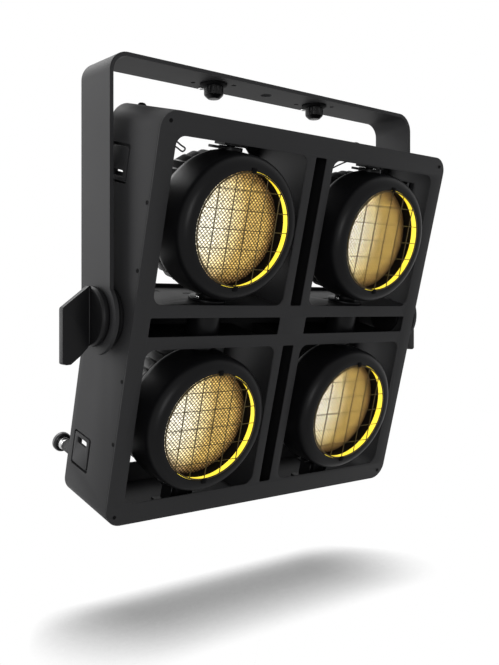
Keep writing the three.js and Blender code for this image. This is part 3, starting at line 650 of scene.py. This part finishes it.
def clamp_sockets():
    """Fluted sockets with a round bottom and a flange, and the screws beside them."""
    for side in SIDES:
        low, high = extent(f"clamp_socket_{side}", YOKE)
        x, top, bottom = (low.x + high.x) / 2, high.z, low.z
        flange, floor = top - STRAP, top - 14.7
        outline = [(0, floor, 0), (4.5, floor, 0), (4.5, top, 0.3), (7, top, 0.3), (7, flange, 0),
                   (10.2, flange, 0), (10.2, bottom + 4, 3), (6, bottom, 2.5), (0, bottom, 0)]
        flute = rod(1.1, bottom + 2.5, flange - 3.4, "Z", 14, 0.8)
        cup = carved(turned(outline, "Z", 56), around(flute, 10.8, 14, "Z"))
        add(f"socket_{side}", moved(cup, x), YOKE, "yoke", SOCKET_BLACK,
            [f"clamp_socket_{side}"])
        collar = lathe([(10, flange), (14.4, flange), (14.4, flange - 1.2), (13, flange - 2.2),
                        (10, flange - 2.8)], "Z", 56)
        add(f"socket_collar_{side}", moved(collar, x), YOKE, "yoke", FASTENER_BLACK)
    under = extent("yoke", YOKE)[1].z - STRAP
    heads = [moved(screw(3.0, 2.0), x, 20, under, quarter("X")) for x in (-75, 75)]
    add("bar_screws", merged(*heads), YOKE, "yoke", BRIGHT)


def tilt_knobs():
    """Ridged round base and a swept wing whose tail hangs below it."""
    for side, sign in SIDES.items():
        name = f"tilt_knob_{side}"
        low, high = extent(name, YOKE)
        inside, tip = from_middle(low.x, high.x)
        face, radius = inside + 7.3, high.y
        base = turned([(0, inside, 0), (radius - 0.8, inside, 0.3), (radius, inside + 1.6, 0.6),
                       (radius, face - 1.9, 0.8), (radius - 1.7, face, 0.7), (radius - 4.2, face, 0.3),
                       (radius - 4.6, face - 0.6, 0.3), (0, face - 0.6, 0)], "X", 96)
        ridge = rod(0.7, inside + 1.6, face - 2.4, "X", 10, 0.3)
        wing = fillet([(face - 4, 25.0, 0), (face, 29.0, 1.5), (tip, 8, 3), (tip, -43.4, 2.0),
                       (tip - 4, -44.6, 2.5), (tip - 8.4, -44.3, 3), (face + 9, -36.2, 12),
                       (face, -26.7, 1.5), (face - 4, -22.7, 0)])
        paddle = softened(moved(plate([wing], 7.0), y=-3.5), 1.3, 3)
        beads = [moved(rod(1.0, -25.5, 26.5, "Z", 14, 0.4), face + 0.4, y) for y in (-3.6, 3.6)]
        knob = merged(base, paddle, *beads, *around(ridge, radius - 0.6, 36, "X"))
        add(f"knob_{side}", mirrored(knob, "X", sign), YOKE, name, KNOB_BLACK, [name])


def tilt_bushes():
    """Thick washers between the side walls and the strap, with their inner flange and stud."""
    for side, sign in SIDES.items():
        name = f"tilt_bush_{side}"
        low, high = extent(name, HOUSING)
        inner, outer = from_middle(low.x, high.x)
        flange, hole, stud, radius = 21.8, 9, 6, high.y
        seat = outer - 9.3
        bush = turned([(0, inner, 0), (flange, inner, 0.8), (flange, inner + 3, 0.2), (hole, inner + 3, 0),
                       (hole, HALF + 0.3, 0), (radius - 1.2, HALF + 0.3, 0.3), (radius, HALF + 1.5, 0.5),
                       (radius, HALF + 4.2, 0.3), (radius - 1, HALF + 4.8, 0.3),
                       (radius - 1, HALF + 5.6, 0.3), (radius, HALF + 6.2, 0.3), (radius, seat - 1.2, 0.5),
                       (radius - 1.2, seat, 0.3), (stud, seat, 0), (stud, outer, 0.5), (0, outer, 0)], "X", 96)
        add(f"bush_{side}", mirrored(bush, "X", sign), HOUSING, "housing", KNOB_BLACK, [name])


def square(inset=0.0):
    """The housing's outline, so far in from the face of its walls."""
    side = 2 * (HALF - inset)
    return rectangle(side, side, CORNER - inset, facets=12)


def front_frame():
    """The face with its windows and slots, the rim behind it, and its corner screws."""
    front = extent("front_frame", HOUSING)[0].y
    width, height, window_x, window_z = 162.5, 156.5, 99.75, 100.25
    windows = []
    for sign in (-1, 1):
        windows += [rectangle(width, height, 10, sign * window_x, sz * window_z) for sz in (-1, 1)]
        windows.append(rectangle(width, 18.6, 1.5, sign * window_x, 0, 3))
        windows.append(rectangle(15.4, height, 1.5, 0, sign * window_z, 3))
    face = moved(plate([square(), *windows], 1.5, 0.35), y=front)
    rim = moved(plate([square(2.3), square(3.8)], 12.0, 0.2), y=front + 1.3)
    add("front_plate", merged(face, rim), HOUSING, "housing", PAINT, ["front_frame"])
    place = HALF - 10
    heads = [moved(screw(1.9, 0.5), sx * place, front, sz * place) for sx, sz in SIGNS]
    add("frame_screws", merged(*heads), HOUSING, "housing", FASTENER_BLACK)


def housing_shell():
    """The square tube with its rear lip, link arm openings, hinge brackets, arm stops and screw collars."""
    front = extent("housing_shell", HOUSING)[0].y
    lip, bottom_lip = 14.0, 24.0
    walls = moved(plate([square(), square(SHEET)], REAR - front, 0.4), y=front)
    opening = plate([rectangle(33.6, 36.6, 3.0)], 8)
    cuts = [cylinder(9.3, sx * (HALF - 4), sx * (HALF + 4), "X", 32) for sx in (-1, 1)]
    cuts += [moved(opening, sx * HALF + 4, ARM_Y, sz * ARM_Z, quarter("Z")) for sx, sz in SIGNS]
    inner, foot = HALF - lip, bottom_lip - HALF
    hole = fillet([(-inner, foot, 4), (inner, foot, 4), (inner, inner, 4), (-inner, inner, 4)])
    band = plate([square(0.5), hole], SHEET, 0.4)
    parts = [carved(walls, cuts), moved(band, y=REAR - SHEET)]
    collar = lathe([(2.6, REAR - SHEET), (6, REAR - SHEET), (6, REAR + 19.2), (5.4, REAR + 20),
                    (2.6, REAR + 20)], "Y", 40)
    # Bars behind each link arm: two insets from the wall's face, then front and rear
    hinge = [(10, 1, -1.8, 1.2), (10, 1, 34.8, 37.8), (10, 8, -1.8, 37.8)]
    liners = [(5.3, 3.3, -1.8, 4.2), (5.3, 1, -1.8, 0.9), (5.3, 3.3, 31.8, 37.4), (5.3, 1, 35.1, 37.4)]
    bars = [(*bar, 122, 135.5, 0.4) for bar in hinge] + [(*bar, 137, 166, 0.3) for bar in liners]
    bars += [(5.3, 3.3, 3, 33, 159.2, 166, 0.3), (5.3, 1, 3, 33, 163.1, 166, 0.3)]
    for sx, sz in SIGNS:
        parts.append(moved(collar, sx * (HALF - 8.5), z=sz * 156.5))
        for deep, shallow, y0, y1, z0, z1, edge in bars:
            parts.append(block((sx * (HALF - deep), y0, sz * z0), (sx * (HALF - shallow), y1, sz * z1), edge))
    add("housing_walls", merged(*parts), HOUSING, "housing", PAINT, ["housing_shell"])
    small = screw(2.1, 0.3, 0.62)
    large = turned([(0, 0, 0), (4, 0, 0), (4, 0.8, 0.6), (2.4, 2.2, 1.2), (0, 2.5, 0)], "Z", 32)
    heads = []
    for z in (-115.5, -53, 53, 115.5):
        heads += [moved(small, sx * HALF, -38.6, z, quarter("Z", sx)) for sx in (-1, 1)]
    heads += [moved(large, x, 30, HALF) for x in (-176, 122)]
    add("wall_screws", merged(*heads), HOUSING, "housing", FASTENER_BLACK)


def cross_beam():
    """The upright and the level channel, with slots and a rear lip on the level one, and corner gussets."""
    low, high = extent("cross_beam", HOUSING)
    half_width, half_height, lip = 18.5, 21.0, 3.5
    rise, reach, front, rear = -low.z, high.x, low.y, high.y
    upright = box((-half_width, front, -rise), (half_width, rear, rise))
    level = [box((-reach, front, -half_height), (reach, rear, half_height)),
             box((-reach, rear - SHEET, -half_height - lip), (reach, rear, half_height + lip))]
    body = carved(upright, level, "UNION")
    inner_x, inner_z = half_width - SHEET, half_height - SHEET
    tools = [box((-inner_x, front - 1, -rise - 1), (inner_x, rear - SHEET, rise + 1)),
             box((-reach - 1, front - 1, -inner_z), (reach + 1, rear - SHEET, inner_z))]
    tools += [moved(cylinder(17.3, -30, 30, "Z"), sx * PAN_X, PAN_Y) for sx in (-1, 1)]
    for x, y, width in ((-135, 20, 6), (-103.5, 12, 11), (84, -3, 8), (62, 20, 6), (138, 20, 6)):
        for z in (-20, 20):
            tools.append(box((x - width / 2, y - 1.4, z - 3), (x + width / 2, y + 1.4, z + 3)))
    parts = [softened(carved(body, tools), 0.5)]
    for sx, sz in SIGNS:
        side, top = 18, 195.5
        foot, tip = (160, 57) if sz > 0 else (176, 36)
        corner = fillet([(sx * side, sz * foot, 0), (sx * side, sz * top, 0), (sx * tip, sz * top, 0)])
        parts.append(moved(plate([corner], SHEET, 0.2), y=rear - SHEET))
    # The beam wears the darker copy of the paint, painted shade inside the housing.
    add("beam_cross", merged(*parts), HOUSING, "housing", SHADED_INNER_PAINT, ["cross_beam"])


def pivot_parts():
    """Hubs through the level beam, the posts at the top and the bottom, and their bolts."""
    pin, face, tip = 4, 24.2, 29.2
    hub = turned([(0, -tip, 0), (pin, -tip, 0.5), (pin, -face, 0), (17, -face, 0.8), (17, 21.3, 0),
                  (19, 21.3, 0.4), (19, face, 0.8), (pin, face, 0), (pin, tip, 0.5), (0, tip, 0)], "Z", 56)
    bolts = []
    for side, sign in SIDES.items():
        x = sign * PAN_X
        placed = moved(hub, x, PAN_Y)
        add(f"hub_{side}", placed, HOUSING, "housing", CAST, [f"pivot_hub_{side}"])
        for end, sz in ENDS.items():
            name = f"pivot_post_{end}_{side}"
            low, high = extent(name, HOUSING)
            pin_end, top = from_middle(low.z, high.z)
            foot = block((-23, low.y - PAN_Y, top - 3), (23, high.y - PAN_Y, top), 0.6, 2)
            post = turned([(0, pin_end, 0), (pin, pin_end, 0.4), (pin, 175.8, 0), (12, 175.8, 0.8),
                           (12, top - 2, 0), (0, top - 2, 0)], "Z", 48)
            cheeks = [block((dx, -9, 175.9), (dx + 6, 9, top - 2.6), 0.6) for dx in (-14, 8)]
            whole = moved(mirrored(merged(foot, post, *cheeks), "Z", sz), x, PAN_Y)
            add(f"post_{end}_{side}", whole, HOUSING, "housing", CAST, [name])
            for dx in (-18, 18):
                bolts.append(moved(screw(2.6, 1.6), x + dx, PAN_Y, sz * (top - 3), quarter("X", sz)))
            for dx in (-11, 11):
                bolts.append(moved(screw(2.2, 1.4), x + dx, PAN_Y, sz * face, quarter("X", -sz)))
    add("pivot_bolts", merged(*bolts), HOUSING, "housing", BRIGHT)


def bezel_mesh():
    """Round-shouldered drum with a narrow mouth, lens barrel, trunnions and a rounded rear edge."""
    lip, back, plate_back = -41.2, 8.0, 14.0
    mouth, lip_radius, shoulder, body, sleeve, barrel = 56.5, 60.0, 71.5, 72.5, 67.4, 58.6
    profile = [(mouth, lip + 0.5), (mouth + 0.25, lip + 0.12), (mouth + 0.6, lip), (lip_radius - 0.4, lip)]
    for step in range(1, 15):
        angle = math.pi / 2 * step / 14
        out = (shoulder - lip_radius) * math.sin(angle)
        profile.append((lip_radius + out, lip + 13.5 * (1 - math.cos(angle))))
    for step in range(9):
        angle = math.pi / 2 * step / 8
        profile.append((body - 3 + 3 * math.cos(angle), back - 7.5 + 7.5 * math.sin(angle)))
    profile += [(sleeve, back), (sleeve, plate_back), (sleeve - 1, plate_back), (sleeve - 1, -8.9),
                (barrel, -15), (barrel, lip + 1.6), (mouth, lip + 1.6)]
    trunnion = rod(12, 69, 75.5, "Z", 48, 0.6)
    return merged(lathe(profile, "Y", 144), trunnion, mirrored(trunnion, "Z"))


def guard_mesh():
    """A ring and five by five wires, the upright ones in front, which touch where they cross."""
    radius, level, pitch, step = 55.3, -40.8, 18.83, 0.44
    path = [(radius * math.cos(t), level, radius * math.sin(t)) for t in turns(128)]
    parts = [tube([*path, path[0]], 0.8)]
    for i in range(-2, 3):
        offset = i * pitch
        reach = math.sqrt(radius ** 2 - offset ** 2)
        parts.append(moved(rod(0.52, -reach, reach, "Z", 14, 0.1), offset, level - step))
        parts.append(moved(rod(0.4, -reach, reach, "X", 14, 0.1), 0, level + step, offset))
    return merged(*parts)


def sink_mesh():
    """Thirty-eight straight fins round a core, turned down towards the rear, on a front disc."""
    fins, thick, core, edge, front, rear = 38, 1.9, 40.0, 8.3, 14.3, 52.3
    tip_front, tip_rear, sleeve = 69.0, 60.0, 67.7
    outline = fillet([(core - 3, front, 0), (sleeve, front, 0), (sleeve, edge, 0), (tip_front, edge, 0.4),
                      (tip_front, rear - 22, 8), (tip_rear, rear, 2), (core - 3, rear, 0)], 4)
    blade = softened(moved(plate([outline], thick), y=-thick / 2), 0.3, 1)
    blade = moved(blade, turn=Matrix.Rotation(math.pi / fins, 4, "Y") @ quarter("X", -1))
    parts = [moved(blade, turn=Matrix.Rotation(angle, 4, "Y")) for angle in turns(fins)]
    parts.append(turned([(0, front, 0), (66, front, 0.4), (66, front + 2.4, 0.4), (core, front + 2.4, 0),
                         (core, rear - 1.5, 1.2), (0, rear - 1.5, 0)], "Y", 80))
    return merged(*parts)


def lens_mesh():
    """A shallow dome, thickest in its middle."""
    low, high = extent("lens_upper_left", PODS["upper", "left"])
    radius, rise, rings = high.x, 2.2, 16
    dome = [(radius * i / rings, low.y + rise * (i / rings) ** 2) for i in range(rings)]
    return lathe([*dome, (radius, low.y + rise + 0.3), (radius, high.y), (0, high.y)], "Y", 96)


def ring_mesh():
    """The ring round the lens, which shows the painted glow."""
    low, high = extent("glow_ring_upper_left", PODS["upper", "left"])
    outer, inner, front, back = high.x, high.x - 1.8, low.y, low.y + 8.2
    return lathe([(inner + 0.5, front), (outer, front), (outer, back), (inner + 0.9, back),
                  (inner, back - 1.2), (inner, front + 0.8)], "Y", 128)


def tab_mesh():
    """The screwed tabs that hold a guard at its top and bottom."""
    parts = []
    for sz in (-1, 1):
        parts.append(moved(screw(1.7, 0.5), y=GUARD_FRONT, z=sz * 57.6))
        parts.append(block((-2.8, GUARD_FRONT, sz * 54.6), (2.8, GUARD_FRONT + 1, sz * 59.8), 0.3))
    return merged(*parts)


def pods():
    """The drum, guard, heat sink, lens and glow ring of each pod."""
    bezel, guard, tabs = bezel_mesh(), guard_mesh(), tab_mesh()
    sink, lens, ring = sink_mesh(), lens_mesh(), ring_mesh()
    stop = block((-23, -6, 72), (-7, 6, 74.6), 0.5, 2)
    for end, side in CORNERS:
        tag = f"{end}_{side}"
        space, body = PODS[end, side], f"pod_{tag}"
        drum = merged(bezel, mirrored(stop, "Z", ENDS[end]))
        add(f"drum_{tag}", drum, space, body, CAST, [f"bezel_{tag}"])
        add(f"guard_{tag}", guard.copy(), space, body, WIRE, [f"wire_guard_{tag}"])
        add(f"guard_screws_{tag}", tabs.copy(), space, body, FASTENER_BLACK)
        add(f"fins_{tag}", sink.copy(), space, body, FIN_BLACK, [f"heat_sink_{tag}"])
        add(f"front_lens_{tag}", lens.copy(), space, body, LENS, [f"lens_{tag}"])
        add(f"ring_{tag}", ring.copy(), space, body, GLOW, [f"glow_ring_{tag}"])


def pod_leads():
    """Two thin leads from the pivot posts to the backs of the upper heat sinks."""
    for side, route in LEAD_ROUTES.items():
        lead = tube(smooth_path(route, 8), 0.85)
        add(f"pod_lead_{side}", lead, PODS["upper", side], f"pod_upper_{side}", LEAD_BLACK,
            [f"lead_upper_{side}"])


def smooth_path(points, steps):
    """A curve through the points, with so many steps between each two."""
    points = [Vector(p) for p in points]
    ends = [points[0] * 2 - points[1], *points, points[-1] * 2 - points[-2]]
    path = []
    for four in zip(ends, ends[1:], ends[2:], ends[3:]):
        knots = [0.0]
        for one, other in zip(four, four[1:]):
            knots.append(knots[-1] + math.sqrt((other - one).length))
        for step in range(steps):
            t = knots[1] + (knots[2] - knots[1]) * step / steps
            first = [between(four[i], four[i + 1], knots[i], knots[i + 1], t) for i in range(3)]
            second = [between(first[i], first[i + 1], knots[i], knots[i + 2], t) for i in range(2)]
            path.append(between(*second, knots[1], knots[2], t))
    return [*path, points[-1]]


def between(one, other, start, end, t):
    return one * ((end - t) / (end - start)) + other * ((t - start) / (end - start))


def link_arms():
    """Flush arms with a finger slot, hinge pin and lug, in a groove that is wider at the rear and the tip."""
    for end, side in CORNERS:
        sx, sz = SIDES[side], ENDS[end]
        name = f"link_arm_{end}_{side}"
        outline = rectangle(28.8, 32.2, 2.6, -0.6, -sz * 0.4)
        slot = rectangle(18, 6, 2, 0, -sz * 9.5)
        arm = moved(plate([outline, slot], 3.0, 0.3), sx * HALF, ARM_Y, sz * ARM_Z, quarter("Z", sx))
        pin = moved(rod(1.3, -1.8, 37.8, "Y", 20, 0.2), sx * (HALF - 4), z=sz * 131)
        lug = block((sx * (HALF - 2), 25.2, sz * 150.7), (sx * (HALF - 11), 31.2, sz * 158.7), 0.5)
        add(f"arm_{end}_{side}", merged(arm, pin, lug), HOUSING, name, PAINT, [name])


def thumb_screws():
    """Round black grips on a bright neck, with the shank running forward to the arm's lug."""
    for end, side in CORNERS:
        name = f"thumb_screw_{end}_{side}"
        low, high = extent(name, HOUSING)
        x, z, tip, rear = (low.x + high.x) / 2, (low.z + high.z) / 2, low.y, high.y
        neck = rear - 13
        grip = neck + 5.2
        head = turned([(0, grip, 0), (7.6, grip, 0.3), (9.4, grip + 0.4, 1.2), (10.4, grip + 2.2, 1.4),
                       (10.4, rear - 2, 1.4), (8.4, rear, 1.0), (6.4, rear, 0.6), (5.4, rear - 1.2, 0.4),
                       (0, rear - 1.2, 0)], "Y", 72)
        flute = rod(0.9, grip + 1.2, rear - 1.2, "Y", 12, 0.4)
        shank = turned([(0, tip, 0), (2.2, tip, 0.4), (2.2, neck, 0), (5, neck, 0.5), (5, neck + 2.6, 0.3),
                        (6.6, neck + 3.4, 0.4), (6.6, grip, 0.2), (0, grip, 0)], "Y", 40)
        head = moved(carved(head, around(flute, 11.0, 24, "Y")), x, 0, z)
        add(f"thumb_{end}_{side}", head, HOUSING, name, GRIP_BLACK, [name])
        add(f"thumb_neck_{end}_{side}", moved(shank, x, 0, z), HOUSING, name, BRIGHT)


def driver_box():
    """The cover with its vents and screws, and the display, buttons and connectors in its rear face."""
    low, high = extent("driver_box", HOUSING)
    width, height, front, rear = 72.0, 240.0, low.y, high.y
    display_z, button_z, power_z, data_z = 72.0, 44.0, -78.0, -24.0
    button_x, power_x, data_x = (-21, -7, 7, 21), (-17, 17), (-15, 15)
    cover = moved(plate([rectangle(width, height, 8, facets=10)], rear - front, 1.2), y=front)
    tools = [moved(plate([rectangle(width - 4, height - 4, 6)], rear - front), y=front - 2),
             moved(plate([rectangle(44.6, 24.6, 1.5, 0, display_z)], 8), y=rear - 5)]
    for places, z, radius in ((button_x, button_z, 4.3), (power_x, power_z, 12.3), (data_x, data_z, 10.3)):
        tools += [moved(cylinder(radius, rear - 5, rear + 3), x, 0, z) for x in places]
    vent = plate([rectangle(16, 2.4, 1.1)], 6)
    for z in range(38, 95, 7):
        tools += [moved(vent, sx * width / 2 + 3, rear - 15, z, quarter("Z")) for sx in (-1, 1)]
    add("box_cover", carved(cover, tools), HOUSING, "housing", PAINT, ["driver_box"])
    heads = [(2.6, 1.3, sx * 30, rear, sz * 113.5) for sx, sz in SIGNS]
    heads += [(1.6, 1.0, sx * 28, rear + 2.3, data_z + sz * 12) for sx, sz in SIGNS]
    heads.append((2.4, 1.3, 0, rear, power_z - 24))
    screws = [moved(screw(radius, rise), *place, quarter("Z", 2)) for radius, rise, *place in heads]
    add("box_screws", merged(*screws), HOUSING, "housing", BRIGHT)
    glass = moved(plate([rectangle(44, 24, 1.5, 0, display_z)], 2.4, 0.25), y=rear - 2)
    add("display_glass", glass, HOUSING, "housing", DISPLAY, ["display_window"])
    cap = turned([(0, rear - 3.9, 0), (5.4, rear - 3.9, 0.2), (5.4, rear - 2.3, 0.2), (4, rear - 2.3, 0),
                  (4, rear + 1.6, 0.9), (0, rear + 2.4, 0)], "Y", 48)
    for i, x in enumerate(button_x, 1):
        name = f"menu_button_{i}"
        add(f"button_cap_{i}", moved(cap, x, 0, button_z), HOUSING, name, BUTTON_GREY, [name])
    for kind, x, turn in (("inlet", power_x[1], 0), ("outlet", power_x[0], math.pi / 3)):
        cup = moved(connector(rear, 12.0, 15.0, 3, turn), x, 0, power_z)
        add(f"mains_{kind}", cup, HOUSING, "housing", DULL_BLACK, [f"power_{kind}"])
    holes = [circle(9.9, x, data_z) for x in data_x]
    base = moved(plate([rectangle(62, 30, 3, 0, data_z), *holes], 2.0, 0.3), y=rear + 0.3)
    cups = [moved(connector(rear, 10.0, 0, 5, 0), x, 0, data_z) for x in data_x]
    panel = merged(base, *cups)
    add("data_panel", panel, HOUSING, "housing", DULL_BLACK, ["data_connectors"])
    pin = rod(1.0, rear - 5.2, rear + 1.0, "Y", 14, 0.4)
    pins = []
    for places, z, ring, count in ((data_x, data_z, 4.2, 5), (power_x, power_z, 5.0, 3)):
        group = merged(*around(pin, ring, count, "Y", math.pi / count + math.pi / 2))
        pins += [moved(group, x, 0, z) for x in places]
    add("connector_pins", merged(*pins), HOUSING, "housing", BRIGHT)


def connector(rear, radius, flange, keys, turn):
    """A round connector cup with a rim, a floor, key ribs and, where it has one, a flange."""
    inner = radius - 2
    outline = [(0, rear - 9, 0), (radius, rear - 9, 0.3), (radius, rear + 0.3, 0)]
    if flange:
        outline += [(flange, rear + 0.3, 0.2), (flange, rear + 2.3, 0.6), (radius, rear + 2.3, 0)]
    outline += [(radius, rear + 4, 0.6), (inner, rear + 4, 0.6), (inner, rear - 5, 0), (0, rear - 5, 0)]
    rib = rod(0.7, rear - 5.5, rear + 2.6, "Y", 10, 0.3)
    return merged(turned(outline, "Y", 56, 3), *around(rib, inner + 0.1, keys, "Y", turn))


def dress_cad_nodes():
    """Finishes for the CAD nodes that show as they are."""
    finishes = {"steel": STEEL, "rubber_black": DULL_BLACK, "housing_paint": PAINT, "cast_black": CAST,
                "reflector": REFLECTOR, "supply_metal": SUPPLY, "display_dark": DISPLAY,
                "button_grey": BUTTON_GREY, "knob_black": KNOB_BLACK, "fins_black": FIN_BLACK,
                "lens_amber": LENS, "glow_yellow": GLOW, "wire_dark": WIRE}
    for part in frame["record"]["subparts"]:
        piece = frame["nodes"][part["node"]]
        piece.data.materials.clear()
        piece.data.materials.append(finishes[part["material_slot"]])


# Stage, lamps and camera


def seen_apart(tree, hidden, seen, output):
    """One shader for bounced light, and one for what the camera sees, also in a gloss or through glass."""
    rays = node(tree, "ShaderNodeLightPath", {}).outputs
    direct = math_node(tree, "MAXIMUM", rays["Is Camera Ray"], rays["Is Glossy Ray"])
    factor = math_node(tree, "MAXIMUM", direct, rays["Is Transmission Ray"])
    both = node(tree, "ShaderNodeMixShader", {0: factor, 1: hidden.outputs[0], 2: seen.outputs[0]})
    feed(tree, tree.nodes[output], {"Surface": both.outputs[0]})


def stage():
    """White floor below the hung light, whose emission is darkened by ambient occlusion: a painted soft shadow
    under the light.
    """
    bpy.ops.mesh.primitive_plane_add(size=40, location=(0, 0, PIVOT.z - 0.316))
    floor = bpy.context.object
    floor.name = "floor"
    material, tree, shader = new_material("white_floor")
    feed(tree, shader, {"Base Color": (0.6, 0.6, 0.6, 1), "Roughness": 0.9})
    # Painted shadow: the floor's emission is darkened by ambient occlusion under the light.
    shade = node(tree, "ShaderNodeAmbientOcclusion", {"Distance": 0.138}, samples=32)
    white = node(tree, "ShaderNodeEmission", {"Color": math_node(tree, "POWER", shade.outputs["AO"], 6.0)})
    seen_apart(tree, shader, white, "Material Output")
    floor.data.materials.append(material)


def world():
    """An even pale surround that shows as white to the camera and in reflections."""
    made = bpy.data.worlds.new("surround")
    bpy.context.scene.world = made
    made.use_nodes = True
    tree = made.node_tree
    light = tree.nodes["Background"]
    feed(tree, light, {"Color": (1, 1, 1, 1), "Strength": 0.42})
    white = node(tree, "ShaderNodeBackground", {"Color": (1, 1, 1, 1)})
    seen_apart(tree, light, white, "World Output")


def lamp(name, place, size, power):
    """A panel of light, placed from the tilt axis's middle and turned towards it."""
    data = bpy.data.lights.new(name, "AREA")
    data.shape = "RECTANGLE"
    data.size, data.size_y = size
    data.energy = power
    made = bpy.data.objects.new(name, data)
    bpy.context.scene.collection.objects.link(made)
    made.location = PIVOT + Vector(place)
    made.rotation_mode = "QUATERNION"
    made.rotation_quaternion = (-Vector(place)).to_track_quat("-Z", "Y")


def lamps():
    lamp("rear_left_panel", (-1.2, 1.35, 0.35), (1.6, 1.8), 22)
    lamp("rear_top_panel", (-0.3, 1.1, 1.3), (1.0, 1.0), 14)
    lamp("front_left_panel", (-1.35, -1.5, -0.1), (0.8, 1.2), 18)


def camera():
    """The photograph's viewpoint, from the fitted place and turn."""
    data = bpy.data.cameras.new("camera")
    data.lens = 46.024
    data.shift_y = -0.0341
    data.clip_end = 50
    made = bpy.data.objects.new("camera", data)
    bpy.context.scene.collection.objects.link(made)
    made.location = PIVOT + Vector((-0.6188, -0.7066, 0.0062))
    made.rotation_euler = (math.pi / 2, 0, -math.radians(40.07))
    bpy.context.scene.camera = made


bpy.context.scene.view_settings.view_transform = "Standard"
camera()
dress_cad_nodes()
yoke()
clamp_sockets()
tilt_knobs()
tilt_bushes()
front_frame()
housing_shell()
cross_beam()
pivot_parts()
pods()
pod_leads()
link_arms()
thumb_screws()
driver_box()
stage()
world()
lamps()
